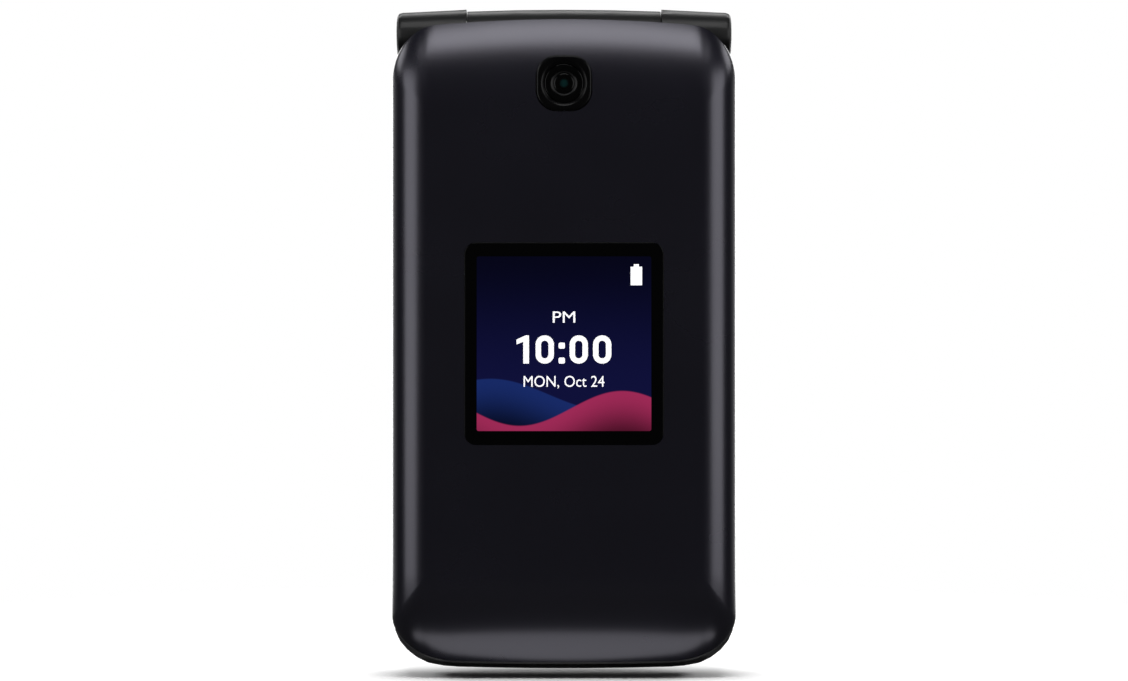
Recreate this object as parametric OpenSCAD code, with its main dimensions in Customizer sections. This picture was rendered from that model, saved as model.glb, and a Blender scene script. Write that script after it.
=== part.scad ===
// Flip phone, folded shut and upright: hinge at the top, lid in front, battery cover behind.
// Millimetres. Pieces are drawn with y measured back from the lid's front and z up from the lowest edge,
// and seat() then moves the origin to the middle of the flat back face.

/* [Phone] */
// Width across the lid and the base
phone_w = 54; // [52:0.5:60]
// Height from the lower edge to the top of the hinge barrel
phone_h = 105; // [103:0.5:115]
// Thickness of the folded phone
phone_t = 18.5; // [18.3:0.1:21]
// Air gap between the folded lid and the base
fold_gap = 0.5; // [0.4:0.05:0.7]

/* [Lid] */
// Thickness of the lid
lid_t = 7.45; // [7.4:0.05:8.2]
// Depth at which the outer shell meets the inner housing
lid_split = 4; // [3.9:0.05:4.2]
// Wall of the lid's outer shell
lid_wall = 1.5; // [1.3:0.05:1.55]
// Wall of the lid's inner housing
lid_inner_wall = 1.2; // [1:0.1:1.4]
// Plate of the inner housing that faces the keys
lid_plate = 1.35; // [1.2:0.05:1.4]
// How far the lid's top edge lies below the top of the barrel
lid_top_drop = 2.1; // [2:0.1:3]
// How far the lid's lower edge lies above the base's
lid_lift = 1.4; // [1:0.1:2.5]
// Width of the rolled side edge
lid_roll_w = 5.5; // [4.5:0.5:7]

/* [Hinge] */
// Outer radius of the hinge barrel
hinge_r = 4.1; // [4:0.05:4.3]
// How far the hinge axis lies behind the base's front face
hinge_set = 0.75; // [0.6:0.05:1]
// Length of the lid's centre knuckle
centre_knuckle_l = 30.6; // [28:0.2:32]
// How far each end of the barrel lies inside the phone's side
barrel_inset = 0.55; // [0.4:0.05:1.5]
// Gap between neighbouring knuckles
knuckle_gap = 0.15; // [0.1:0.05:0.3]
// Room around the barrel for the parts that swing past it
swing_gap = 0.35; // [0.3:0.05:0.45]
// Radius of the cam cartridge
cartridge_r = 2.6; // [2.4:0.1:2.8]
// Radius of the cam shaft
shaft_r = 1.45; // [1.2:0.05:1.6]
// Radius of the hollow pivot
pivot_r = 2.4; // [2.2:0.05:2.5]
// Radius of the cable bundle in the hinge
cable_r = 1.2; // [0.8:0.1:1.3]
// Radius of the barrel's end caps
cap_r = 2.78; // [2.7:0.02:2.9]
// Thickness of the barrel's end caps
cap_t = 1; // [0.8:0.1:1.2]

/* [Outer display] */
// Width of the outer display window
window_w = 31; // [26:0.5:34]
// Height of the outer display window
window_h = 31.5; // [26:0.5:34]
// Height of the window's middle above the phone's middle
window_rise = -0.5; // [-3:0.5:3]
// Thickness of the outer display window
window_t = 0.95; // [0.8:0.05:1]
// Width and height of the outer display's picture
outer_view = 27.2; // [22:0.2:27.4]

/* [Camera] */
// Width of the camera bezel
bezel_w = 8.7; // [8.3:0.1:9.5]
// Corner radius of the camera bezel
bezel_corner = 3.2; // [2.5:0.1:3.6]
// How far below the barrel's top the camera is
camera_drop = 12.4; // [12.2:0.1:14]
// How far the bezel stands in front of the lid
bezel_proud = 0.15; // [0.1:0.05:0.4]
// Radius of the lens window
lens_r = 3.05; // [2.6:0.05:3.2]

/* [Inner display] */
// Width of the lid's frame beside the inner window
inner_frame = 4; // [3.6:0.1:7]
// Height of the inner window's lower edge
inner_window_z = 14; // [13.5:0.5:16]
// Distance from the barrel's top down to the inner window's upper edge
inner_window_drop = 23; // [22.5:0.5:30]
// Width of the black border beside the inner picture
inner_border = 1.6; // [1.5:0.1:4]
// Height of the black border above and below the inner picture
inner_border_z = 5.5; // [5:0.5:9]

/* [Keys] */
// Width of the plate left free beside the keypad
keypad_side = 5.4; // [5.2:0.1:8]
// Gap between neighbouring number keys
key_gap = 1; // [0.8:0.1:2]
// Height of the lowest row's middle
row_z = 13; // [12.5:0.5:14]
// Distance from the barrel's top down to the middle of the navigation ring
nav_drop = 34.3; // [34:0.1:38]
// How much lower the call key's row is than a row of numbers
func_less = 0.6; // [0:0.1:1.5]
// Gap between the call key's row and the navigation ring
nav_gap = 5.8; // [5:0.2:6]
// Width of the navigation ring
nav_w = 20.5; // [18:0.5:20.5]
// Height of the navigation ring
nav_h = 19; // [17:0.5:19]
// Width of the OK key
ok_w = 9.4; // [8:0.2:9.4]
// Height of the OK key
ok_h = 8.9; // [8:0.1:8.9]
// Gap between the navigation ring and a soft key
soft_gap = 1.4; // [1.2:0.1:3]
// Width of the plate left free beside a soft key
soft_side = 4.35; // [4.2:0.05:8]
// Height of a soft key
soft_h = 11.4; // [10:0.2:11.4]
// How far the soft keys' middle lies below the navigation ring's
soft_low = 1.3; // [1:0.1:2]
// Clearance around each key in the plate
key_clear = 0.15; // [0.1:0.01:0.18]
// Travel of a key
key_travel = 0.3; // [0.2:0.05:0.3]
// How far the keys stand in front of the plate
key_proud = 0.15; // [0.1:0.05:0.2]

/* [Base] */
// Thickness of the keypad plate
plate_t = 1.1; // [0.9:0.05:1.15]
// Wall of the base's frame
frame_wall = 1.3; // [1.1:0.1:1.4]
// Depth at which the battery cover meets the frame
cover_split = 13.9; // [13.8:0.1:14.1]
// Wall of the battery cover
cover_wall = 1.1; // [0.9:0.05:1.2]
// Width of the rolled side edge of the battery cover
cover_roll_w = 7.5; // [6:0.5:9]
// Clearance between the battery cover and the frame inside it
cover_clear = 0.2; // [0.15:0.05:0.3]
// How far the base's top edge lies below the top of the barrel
base_top_drop = 3.6; // [3.6:0.1:4.5]

/* [Battery and boards] */
// Distance from the phone's side to the battery
battery_side = 8; // [7.8:0.1:12]
// Height of the battery's lower edge
battery_z = 14; // [13.5:0.5:18]
// Distance from the barrel's top down to the battery's upper edge
battery_drop = 43; // [42:0.5:50]
// Thickness of the battery
battery_t = 4.2; // [3.8:0.05:4.2]
// Clearance around the battery
battery_clear = 0.3; // [0.2:0.05:0.4]
// Thickness of the main circuit board
board_t = 0.8; // [0.6:0.1:0.9]
// Width of the lid's circuit board
lid_board_w = 40; // [30:1:42]
// Width of the SIM card socket
sim_w = 13; // [12.5:0.5:14]
// Width of the battery contact block
contact_w = 11.6; // [8:0.2:12]
// Length of the antenna strip
antenna_l = 30; // [20:1:34]

/* [Speaker] */
// Width of the loudspeaker
speaker_w = 16; // [14:0.5:17]
// Height of the loudspeaker
speaker_h = 11; // [10:0.5:11]
// Radius of a speaker hole
speaker_hole_r = 0.42; // [0.3:0.02:0.5]
// Distance between speaker holes in a row
speaker_pitch = 2.7; // [2.4:0.1:3]
// Distance from the barrel's top down to the loudspeaker
speaker_drop = 22.3; // [22:0.1:23]

/* [Side parts] */
// Radius of the audio jack's bore
jack_r = 1.8; // [1.75:0.05:1.85]
// Length of the audio jack's bore
jack_l = 13; // [12:0.5:13.4]
// Room between a soft key and the audio jack above it
jack_gap = 2.25; // [2:0.05:2.6]
// Long side of the micro-USB opening
usb_w = 7.5; // [7:0.1:7.8]
// Short side of the micro-USB opening
usb_h = 2.1; // [1.8:0.1:2.3]
// Height of the micro-USB opening
usb_z = 22.7; // [21:0.1:25]
// Length of the upper side key
side_key_l = 10.4; // [8:0.2:11]
// Length of the volume rocker
rocker_l = 22.4; // [18:0.2:23]
// Distance from the barrel's top down to the middle of the upper side key
side_key_drop = 29.15; // [29:0.05:31]
// How far the middle of the volume rocker lies below the upper screws
rocker_low = 10.2; // [10.2:0.1:14]
// Length of the notch in the middle of the volume rocker
rocker_waist = 3.9; // [3:0.1:6]
// Width of the side keys
side_key_w = 2.1; // [1.8:0.1:2.2]
// How far the side keys stand out
side_key_proud = 0.4; // [0.3:0.05:0.5]

/* [Hidden] */
$fn = 48;

half_w = phone_w / 2;
middle_z = phone_h / 2;
eps = 0.01;
over = 1;

// Segments of a corner, a roll and the crowned stretch of an edge
corner_n = 7;
roll_n = 6;
crown_n = 3;

// Hinge
base_y = lid_t + fold_gap;
hinge_y = base_y + hinge_set;
hinge_z = phone_h - hinge_r;
sweep_r = hinge_r + swing_gap;
knuckle_half = centre_knuckle_l / 2;
outer_knuckle_x = knuckle_half + knuckle_gap;
barrel_half = half_w - barrel_inset;
cap_recess = cap_t + 0.05;
barrel_taper = 0.5;
centre_crown = 0.3;
fit = 0.02;
running = 0.05;
web_l = 5.8;
web_x = knuckle_half - web_l;
knuckle_bore = 3;
collar_r = 2.2;
cable_strip_w = 4;

// Lid
lid_z0 = lid_lift;
lid_z1 = phone_h - lid_top_drop;
lid_roll_lo_h = 14.6;
lid_roll_hi_h = 13.9;
lid_flat_z0 = lid_z0 + lid_roll_lo_h;
lid_flat_z1 = lid_z1 - lid_roll_hi_h;
lid_roll_lo = 4.3;
lid_roll_hi = 3.3;
lid_roll_side = 3.8;
lid_end_rise = 1.3;
lid_lo = [10, 7.2, 0.5];
lid_hi = [7, 8, 1.6];
housing_step = 0.2;
housing_chamfer = 0.8;
lid_cavity_y = lid_t - lid_plate;
lid_top_web = 0.9;
lid_cavity_top = hinge_z - hinge_r - lid_top_web;
display_y = lid_wall + 0.15;
outer_panel_t = 1.45;
lid_board_y = display_y + outer_panel_t + 0.1;
lid_board_t = 0.6;
lid_board_low = 4;
lid_board_high = 4.6;
camera_block_w = 7.4;
camera_block_h = 6.4;
inner_window_w = phone_w - 2 * inner_frame;
inner_window_h = phone_h - inner_window_drop - inner_window_z;
inner_window_mid = inner_window_z + inner_window_h / 2;
inner_view_w = inner_window_w - 2 * inner_border;
inner_view_h = inner_window_h - 2 * inner_border_z;
inner_panel_y = lid_split + 0.15;
inner_panel_t = lid_cavity_y - inner_panel_y - 0.15;
inner_window_t = 0.9;
seat_gap = 0.05;
window_z = middle_z + window_rise;
window_corner = 1.8;
camera_z = phone_h - camera_drop;
lid_screw_side = 7;
lid_screw_low = 7.1;
lid_screw_high = 12.9;
lid_screw_x = half_w - lid_screw_side;
lid_screw_zs = [lid_z0 + lid_screw_low, lid_z1 - lid_screw_high];
earpiece_rise = 6.4;
earpiece_z = lid_z0 + earpiece_rise;
bezel_back = 2.6;
lens_front = 0.25;
lens_back = 1;
earpiece_w = 13;
earpiece_h = 5.6;
earpiece_slot_w = 12;
earpiece_slot_h = 1.5;
bumper_r = 1.2;
bumper_side = 2.8;
bumper_x = half_w - bumper_side;
bumper_zs = [6.3, 33.8];

// Base
base_z1 = phone_h - base_top_drop;
base_lo = [10, 7.2, 0.9];
base_hi = [6.5, 6.5, 0.5];
plate_back = base_y + plate_t;
cover_flat_z0 = 17;
cover_flat_z1 = base_z1 - 14.3;
cover_roll_lo = 5.6;
cover_roll_hi = 3.2;
cover_roll_side = phone_t - cover_split;
deck_y = cover_split - 0.8;
deck_t = 0.7;
deck_back = deck_y + deck_t;
pan_wall = 0.8;
cover_inside = phone_t - cover_wall;
battery_w = phone_w - 2 * battery_side;
battery_h = phone_h - battery_drop - battery_z;
battery_back_gap = 0.4;
battery_front_gap = 0.1;
pan_floor = 0.6;
battery_y = cover_inside - battery_back_gap - battery_t;
battery_top = battery_z + battery_h;
pan_y = battery_y - battery_front_gap - pan_floor;
dome_h = 0.25;
flange_t = 0.25;
sheet_gap = 0.05 + flange_t + 0.1 + dome_h + key_travel;
sheet_y = plate_back + sheet_gap;
sheet_t = 0.1;
board_y = sheet_y + sheet_t;
board_back = board_y + board_t;
board_inset = 2.8;
board_z0 = 3.5;
board_z1 = hinge_z - hinge_r - 3.5;
flange_w = 0.1;
key_corner = 1.2;
key_top = base_y - key_proud;
key_flange_y = plate_back + 0.05;

// Rows and columns of the keypad
nav_z = phone_h - nav_drop;
keypad_top = nav_z - nav_h / 2 - nav_gap;
col_pitch = (phone_w - 2 * keypad_side) / 3;
row_pitch = (keypad_top - row_z + (key_gap + func_less) / 2) / 4.5;
num_w = col_pitch - key_gap;
num_h = row_pitch - key_gap;
func_h = num_h - func_less;
func_z = row_z + 4 * row_pitch;
soft_w = half_w - soft_side - nav_w / 2 - soft_gap;
soft_z = nav_z - soft_low;
soft_x = nav_w / 2 + soft_gap + soft_w / 2;

// Parts behind the deck
speaker_z = phone_h - speaker_drop;
speaker_t = 3;
rim_inset = 2.1;
rim_wall = 1;
port_set = 3.55;
port_y = base_y + port_set;
jack_case = [jack_l - 0.5, 4.7, 5.7];
jack_z = soft_z + soft_h / 2 + jack_gap + jack_case[2] / 2;
jack_x = -half_w + frame_wall + 0.1;
speaker_frame = 1.2;
nose_r = jack_r + 0.4;
usb_case_l = 5.1;
usb_wall = 0.3;
usb_set = 3;
usb_y = base_y + usb_set;
side_key_set = 3.9;
side_key_y = base_y + side_key_set;
side_key_z = phone_h - side_key_drop;
screw_side = 3.8;
screw_x = half_w - screw_side;
screw_zs = [9, nav_z - nav_h / 2];
rocker_z = screw_zs[1] - rocker_low;
post_r = 1.3;
shank_r = 0.65;
head_r = 1.25;
coin_r = 4;
coin_t = 2.7;
coin_x = speaker_w / 2 + coin_r + 3.5;
coin_z = speaker_z + 2;
foot_side = 10.9;
foot_x = half_w - foot_side;
foot_z = phone_h - 13;
tab_w = 8.1;
sim_x = contact_w / 2 + 2.2 + sim_w / 2;
sim_z0 = battery_top + 2.2;
sim_z1 = speaker_z - speaker_h / 2 - speaker_frame - 0.6;
contact_z = battery_top + 3.1;
cable_z = jack_z + jack_case[2] / 2 + 0.85;
cable_x = -barrel_half + cap_recess + 1.15;
mic_x = half_w - 8;
mic_w = 4;
mic_h = 3;
mic_t = 1.2;
antenna_h = 3;
antenna_drop = 6.9;
mic_z = 6.5;

// Extrusion of a polygon in x and z from y0 back to y1
module along_y(y0, y1) {
    translate([0, y1, 0]) rotate([90, 0, 0]) linear_extrude(y1 - y0) children();
}

// Extrusion of a polygon in y and z from x0 to x1
module along_x(x0, x1) {
    translate([x0, 0, 0]) rotate([90, 0, 90]) linear_extrude(x1 - x0) children();
}

// Extrusion of a polygon in x and y from z0 up to z1
module along_z(z0, z1) {
    translate([0, 0, z0]) linear_extrude(z1 - z0) children();
}

// Rod from x0 to x1 on the line through y and z
module rod_x(r, x0, x1, y, z) {
    translate([x0, y, z]) rotate([0, 90, 0]) cylinder(r = r, h = x1 - x0);
}

// Rod from y0 back to y1 on the line through x and z
module rod_y(r, y0, y1, x, z) {
    translate([x, y0, z]) rotate([-90, 0, 0]) cylinder(r = r, h = y1 - y0);
}

// Box given by its middle across and along the phone, and its near and far depth
module block(w, h, y0, y1, x, z) {
    translate([x - w / 2, y0, z - h / 2]) cube([w, y1 - y0, h]);
}

// Rectangle with round corners
module rounded(w, h, r) {
    square([w - 2 * r, h], center = true);
    square([w, h - 2 * r], center = true);
    for (sx = [-1, 1], sz = [-1, 1]) translate([sx * (w / 2 - r), sz * (h / 2 - r)]) circle(r = r);
}

// Round-cornered slab from y0 back to y1
module slab(w, h, r, y0, y1, x, z) {
    translate([x, 0, z]) along_y(y0, y1) rounded(w, h, r);
}

// Moves a drawn piece into the part's frame
module seat() {
    translate([0, -phone_t, -middle_z]) children();
}

// Outline in x and z: half width, lower and upper ends, and [width, height, crown] of lower and upper corners
function edge_lo(x, half, z0, lo) = z0 + lo[2] * pow(x / half, 2);
function edge_hi(x, half, z1, hi) = z1 - hi[2] * pow(x / half, 2);
function right_side(half, z0, z1, lo, hi) = concat(
    [for (i = [0 : crown_n]) let (x = (half - lo[0]) * i / crown_n) [x, edge_lo(x, half, z0, lo)]],
    [for (i = [1 : corner_n]) let (t = 90 * i / corner_n, x = half - lo[0] * (1 - sin(t)))
        [x, edge_lo(x, half, z0, lo) + lo[1] * (1 - cos(t))]],
    [for (i = [corner_n : -1 : 1]) let (t = 90 * i / corner_n, x = half - hi[0] * (1 - sin(t)))
        [x, edge_hi(x, half, z1, hi) - hi[1] * (1 - cos(t))]],
    [for (i = [crown_n : -1 : 0]) let (x = (half - hi[0]) * i / crown_n) [x, edge_hi(x, half, z1, hi)]]);
function both_sides(side) =
    concat(side, [for (i = [len(side) - 2 : -1 : 1]) [-side[i][0], side[i][1]]]);

// Outline of the lid and of the base, drawn in by g all round
module lid_outline(g) {
    polygon(both_sides(right_side(half_w - g, lid_z0 + g, lid_z1 - g, lid_lo, lid_hi)));
}

module base_outline(g) {
    polygon(both_sides(right_side(half_w - g, g, base_z1 - g, base_lo, base_hi)));
}

// Depth of the lid's rolled front at a height
function lid_front(z) = z < lid_flat_z0 ? lid_roll_lo * pow((lid_flat_z0 - z) / (lid_flat_z0 - lid_z0), 2.05)
    : z > lid_flat_z1 ? lid_roll_hi * pow((z - lid_flat_z1) / (lid_z1 - lid_flat_z1), 2.3) : 0;

// Side profile of the lid in y and z, drawn in by g
module lid_profile(g) {
    low = [for (i = [0 : roll_n]) let (z = lid_z0 + g + (lid_flat_z0 - lid_z0 - g) * i / roll_n)
        [g + lid_front(z), z]];
    high = [for (i = [0 : roll_n]) let (z = lid_flat_z1 + (lid_z1 - g - lid_flat_z1) * i / roll_n)
        [g + lid_front(z), z]];
    back = [[lid_t + over, lid_z1 - g - lid_end_rise], [lid_t + over, lid_z0 + g + lid_end_rise]];
    polygon(concat(low, high, back));
}

// Half of a rolled edge in x and y: the flat part, then a quarter ellipse of width w and depth d
function roll_side(half, w, d, y) = concat([[0, y - 0.5]],
    [for (i = [0 : roll_n]) let (t = 90 * i / roll_n) [half - w * (1 - sin(t)), y + d * (1 - cos(t))]]);

// Body of the lid between y0 and y1, drawn in by g, with its rolled front
module lid_body(y0, y1, g) {
    side = concat(roll_side(half_w - g, lid_roll_w - g, lid_roll_side, g), [[half_w - g, lid_t + over]]);
    intersection() {
        along_y(y0, y1) lid_outline(g);
        along_x(-half_w, half_w) lid_profile(g);
        along_z(0, phone_h) polygon(both_sides(concat(side, [[0, lid_t + over]])));
    }
}

// Depth of the battery cover's rolled back at a height, measured forward from the back
function cover_rise(z) = z < cover_flat_z0 ? cover_roll_lo * pow((cover_flat_z0 - z) / cover_flat_z0, 2.1)
    : z > cover_flat_z1 ? cover_roll_hi * pow((z - cover_flat_z1) / (base_z1 - cover_flat_z1), 2.1) : 0;

// Side profile of the base in y and z, drawn in by g
module base_profile(g) {
    low = [for (i = [0 : roll_n]) let (z = g + (cover_flat_z0 - g) * i / roll_n)
        [phone_t - g - cover_rise(z), z]];
    high = [for (i = [0 : roll_n]) let (z = cover_flat_z1 + (base_z1 - g - cover_flat_z1) * i / roll_n)
        [phone_t - g - cover_rise(z), z]];
    front = [[base_y - eps, base_z1 - g], [base_y - eps, g + 2.75], [base_y + 0.5, g + 1.45]];
    polygon(concat(low, high, front));
}

// Body of the base between y0 and y1, drawn in by g; its sides roll behind the cover's seam
module base_body(y0, y1, g) {
    side = [for (p = roll_side(half_w - g, cover_roll_w - g, cover_roll_side, g)) [p[0], phone_t - p[1]]];
    intersection() {
        along_y(y0, y1) base_outline(g);
        along_x(-half_w, half_w) base_profile(g);
        along_z(-over, phone_h) polygon(both_sides(concat(side, [[half_w - g, 0], [0, 0]])));
    }
}

// Room that the swinging lid and the knuckles need, of radius r between x0 and x1
module swing_room(r, x0, x1) {
    rod_x(r, x0, x1, hinge_y, hinge_z);
    translate([x0, 0, hinge_z]) cube([x1 - x0, hinge_y + r, phone_h]);
}

// Solid turned about the hinge axis from [radius, distance along x] points
module turned_x(points) {
    translate([0, hinge_y, hinge_z]) rotate([0, 90, 0]) rotate_extrude($fn = 72) polygon(points);
}

// ---- Lid ----

// Recess of the lid around the outer knuckles, open upwards behind the outer shell
module lid_recess() {
    for (s = [0, 1]) mirror([s, 0, 0]) {
        rod_x(sweep_r, knuckle_half, half_w, hinge_y, hinge_z);
        translate([knuckle_half, lid_split, hinge_z - 1.9]) cube([half_w - knuckle_half, lid_t, phone_h]);
    }
}

module lid_outer_shell() {
    color([0.1, 0.1, 0.12]) seat() {
        difference() {
            lid_body(-over, lid_split, 0);
            lid_body(lid_wall, lid_split + over, lid_wall);
            slab(window_w + 2 * seat_gap, window_h + 2 * seat_gap, window_corner,
                -over, window_t + seat_gap, 0, window_z);
            slab(outer_view + 1.2, outer_view + 1.2, 1, -over, lid_wall + over, 0, window_z);
            slab(bezel_w + 2 * seat_gap, bezel_w + 2 * seat_gap, bezel_corner, -over, lid_split, 0, camera_z);
            lid_recess();
        }
        for (sx = [-1, 1], z = lid_screw_zs) difference() {
            rod_y(1.5, lid_front(z) + 0.8, lid_cavity_y - seat_gap, sx * lid_screw_x, z);
            rod_y(shank_r + fit, lid_front(z) + 1.9, lid_cavity_y, sx * lid_screw_x, z);
        }
    }
}

module lid_inner_housing() {
    side = [[half_w - housing_step, 0], [half_w - housing_step, lid_t - 1.45],
        [half_w - housing_step - housing_chamfer, lid_t], [0, lid_t]];
    color([0.09, 0.09, 0.1]) seat() difference() {
        union() {
            difference() {
                intersection() {
                    along_y(lid_split, lid_t) lid_outline(housing_step);
                    along_x(-half_w, half_w) lid_profile(housing_step);
                    along_z(0, phone_h) polygon(both_sides(concat([[0, 0]], side)));
                }
                lid_recess();
            }
            turned_x([[0, -knuckle_half], [hinge_r - centre_crown, -knuckle_half],
                [hinge_r - centre_crown * 0.25, -knuckle_half / 2], [hinge_r - fit, 0],
                [hinge_r - centre_crown * 0.25, knuckle_half / 2], [hinge_r - centre_crown, knuckle_half],
                [0, knuckle_half]]);
        }
        intersection() {
            along_y(lid_split - over, lid_cavity_y) lid_outline(lid_inner_wall + housing_step);
            translate([-half_w, 0, 0]) cube([phone_w, phone_t, lid_cavity_top]);
        }
        slab(inner_window_w + 2 * seat_gap, inner_window_h + 2 * seat_gap, 2,
            lid_t - inner_window_t - seat_gap, lid_t + over, 0, inner_window_mid);
        slab(inner_view_w + 1, inner_view_h + 1, 1, lid_cavity_y - over, lid_t + over, 0, inner_window_mid);
        slab(earpiece_slot_w, earpiece_slot_h, 0.7, lid_cavity_y - over, lid_t + over, 0, earpiece_z);
        for (sx = [-1, 1], z = lid_screw_zs) {
            rod_y(shank_r + fit, lid_cavity_y - over, lid_t + over, sx * lid_screw_x, z);
            rod_y(head_r + 0.1, lid_cavity_y + 0.4, lid_t + over, sx * lid_screw_x, z);
        }
        rod_x(knuckle_bore, -web_x, web_x, hinge_y, hinge_z);
        rod_x(collar_r + fit, 0, knuckle_half + over, hinge_y, hinge_z);
        rod_x(pivot_r + running, -knuckle_half - over, 0, hinge_y, hinge_z);
        translate([1 - web_x, 0, 0]) along_x(0, cable_strip_w + 1)
            polygon([[lid_split, lid_cavity_top - over], [lid_cavity_y, lid_cavity_top - over],
                [hinge_y + 0.6, hinge_z], [hinge_y - 2, hinge_z]]);
    }
}

module outer_display_window() {
    color([0.02, 0.02, 0.03]) seat() slab(window_w, window_h, window_corner, 0, window_t, 0, window_z);
}

module outer_display_panel() {
    color([0.1, 0.15, 0.35]) seat() {
        slab(window_w + 0.4, window_h + 1.9, 0.8, display_y, display_y + outer_panel_t, 0, window_z);
        slab(outer_view, outer_view, 0.3, window_t + 0.1, display_y, 0, window_z);
    }
}

module camera_bezel() {
    color([0.07, 0.07, 0.08]) seat() difference() {
        slab(bezel_w, bezel_w, bezel_corner, -bezel_proud, bezel_back, 0, camera_z);
        rod_y(lens_r + seat_gap, -over, lens_back + 0.05, 0, camera_z);
        rod_y(lens_r - 0.65, -over, bezel_back + over, 0, camera_z);
    }
}

module camera_lens() {
    color([0.03, 0.05, 0.08]) seat() rod_y(lens_r, lens_front, lens_back, 0, camera_z);
}

module camera_module() {
    color([0.15, 0.15, 0.16]) seat() {
        rod_y(lens_r - 0.75, lens_back + 0.1, bezel_back + 0.1, 0, camera_z);
        block(camera_block_w, camera_block_h, 2.7, lid_cavity_y - 0.2, 0, camera_z);
    }
}

module inner_display_window() {
    color([0.03, 0.03, 0.04]) seat() slab(inner_window_w, inner_window_h, 2,
        lid_t - inner_window_t - seat_gap, lid_t - seat_gap, 0, inner_window_mid);
}

module inner_display_panel() {
    color([0.12, 0.16, 0.3]) seat() {
        slab(inner_window_w - 0.8, inner_window_h - 5, 0.6,
            inner_panel_y, inner_panel_y + inner_panel_t, 0, inner_window_mid);
        slab(inner_view_w, inner_view_h, 0.3, inner_panel_y + inner_panel_t,
            lid_t - inner_window_t - 2 * seat_gap, 0, inner_window_mid);
    }
}

module earpiece() {
    color([0.3, 0.3, 0.32]) seat()
        slab(earpiece_w, earpiece_h, 1.5, lid_split + 0.2, lid_cavity_y - 0.05, 0, earpiece_z);
}

module earpiece_mesh() {
    color([0.35, 0.35, 0.37]) seat()
        slab(earpiece_slot_w - 0.1, earpiece_slot_h - 0.1, 0.65, lid_cavity_y, lid_t - 0.4, 0, earpiece_z);
}

module lid_circuit_board() {
    top = camera_z - lid_board_high;
    low = lid_flat_z0 - lid_board_low;
    color([0.05, 0.3, 0.15]) seat()
        block(lid_board_w, top - low, lid_board_y, lid_board_y + lid_board_t, 0, (top + low) / 2);
}

module lid_bumpers() {
    color([0.12, 0.12, 0.12]) seat()
        for (sx = [-1, 1], z = bumper_zs) rod_y(bumper_r, lid_t, base_y - 0.07, sx * bumper_x, z);
}

module lid_screws() {
    color([0.55, 0.55, 0.57]) seat() for (sx = [-1, 1], z = lid_screw_zs) {
        rod_y(shank_r, lid_front(z) + 2.2, lid_cavity_y + 0.4, sx * lid_screw_x, z);
        rod_y(head_r, lid_cavity_y + 0.4, lid_t - 0.15, sx * lid_screw_x, z);
    }
}

// ---- Hinge ----

// One outer knuckle, on the +X side, with a rounded end
module outer_knuckle() {
    tip = hinge_r - barrel_taper;
    turned_x([[0, outer_knuckle_x], [hinge_r, outer_knuckle_x], [tip, barrel_half - 0.85],
        [tip - 0.16, barrel_half - 0.35], [tip - 0.42, barrel_half - 0.1], [tip - 0.7, barrel_half],
        [0, barrel_half]]);
}

module hinge_cartridge() {
    color([0.6, 0.6, 0.62]) seat() difference() {
        rod_x(cartridge_r, outer_knuckle_x + 0.1, barrel_half - cap_recess - 0.1, hinge_y, hinge_z);
        rod_x(shaft_r + running, 0, barrel_half - cap_recess - 2, hinge_y, hinge_z);
    }
}

module hinge_shaft() {
    color([0.7, 0.7, 0.72]) seat() {
        rod_x(shaft_r, knuckle_half - 0.4, barrel_half - cap_recess - 2.2, hinge_y, hinge_z);
        rod_x(collar_r, web_x - 0.5, knuckle_half - 0.4, hinge_y, hinge_z);
    }
}

module hinge_pivot() {
    color([0.65, 0.65, 0.67]) seat() difference() {
        rod_x(pivot_r, -barrel_half + cap_recess + 2.2, -web_x - 0.7, hinge_y, hinge_z);
        rod_x(cable_r + 0.3, -half_w, 0, hinge_y, hinge_z);
    }
}

module hinge_end_cap() {
    color([0.1, 0.1, 0.11]) seat() rod_x(cap_r, barrel_half - cap_t, barrel_half, hinge_y, hinge_z);
}

module strap_eyelet_cap() {
    color([0.1, 0.1, 0.11]) seat() difference() {
        rod_x(cap_r, -barrel_half, -barrel_half + cap_t, hinge_y, hinge_z);
        for (s = [-1, 1]) translate([-barrel_half - over, hinge_y, hinge_z]) intersection() {
            rotate([0, 90, 0]) cylinder(r = 1.8, h = over + cap_t - 0.3);
            translate([0, s > 0 ? 0.55 : -3, -3]) cube([3, 2.45, 6]);
        }
    }
}

module display_cable_lid() {
    color([0.75, 0.5, 0.2]) seat() {
        rod_x(cable_r, -barrel_half + cap_recess + 2.2, 1.5 - web_x + cable_strip_w, hinge_y, hinge_z);
        translate([1.5 - web_x, 0, 0]) along_x(0, cable_strip_w)
            polygon([[hinge_y - 0.9, hinge_z - 0.6], [hinge_y - 0.5, hinge_z - 0.6],
                [lid_split + 1.1, lid_cavity_top - 1.2], [lid_board_y + lid_board_t + 0.3, camera_z - 6],
                [lid_board_y + lid_board_t, camera_z - 6], [lid_split + 0.7, lid_cavity_top - 1]]);
    }
}

module display_cable_base() {
    color([0.75, 0.5, 0.2]) seat() {
        block(1.6, hinge_z - cable_z, plate_back + 0.15, plate_back + 0.45, cable_x, (hinge_z + cable_z) / 2);
        block(3, 4, plate_back + 0.15, board_y, cable_x + 0.7, cable_z + 2);
    }
}

// ---- Base ----

// Hole, or key, of each place in the keypad: [x, z, w, h, corner radius]
function num_place(col, row) = [(col - 1) * col_pitch, row_z + row * row_pitch, num_w, num_h, key_corner];
function func_place(col) = [(col - 1) * col_pitch, func_z, num_w, func_h, key_corner];
nav_place = [0, nav_z, nav_w, nav_h, 6];
soft_places = [for (s = [-1, 1]) [s * soft_x, soft_z, soft_w, soft_h, 2]];
plate_places = concat([for (col = [0 : 2], row = [0 : 3]) num_place(col, row)],
    [for (col = [0 : 2]) func_place(col)], soft_places);

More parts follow.
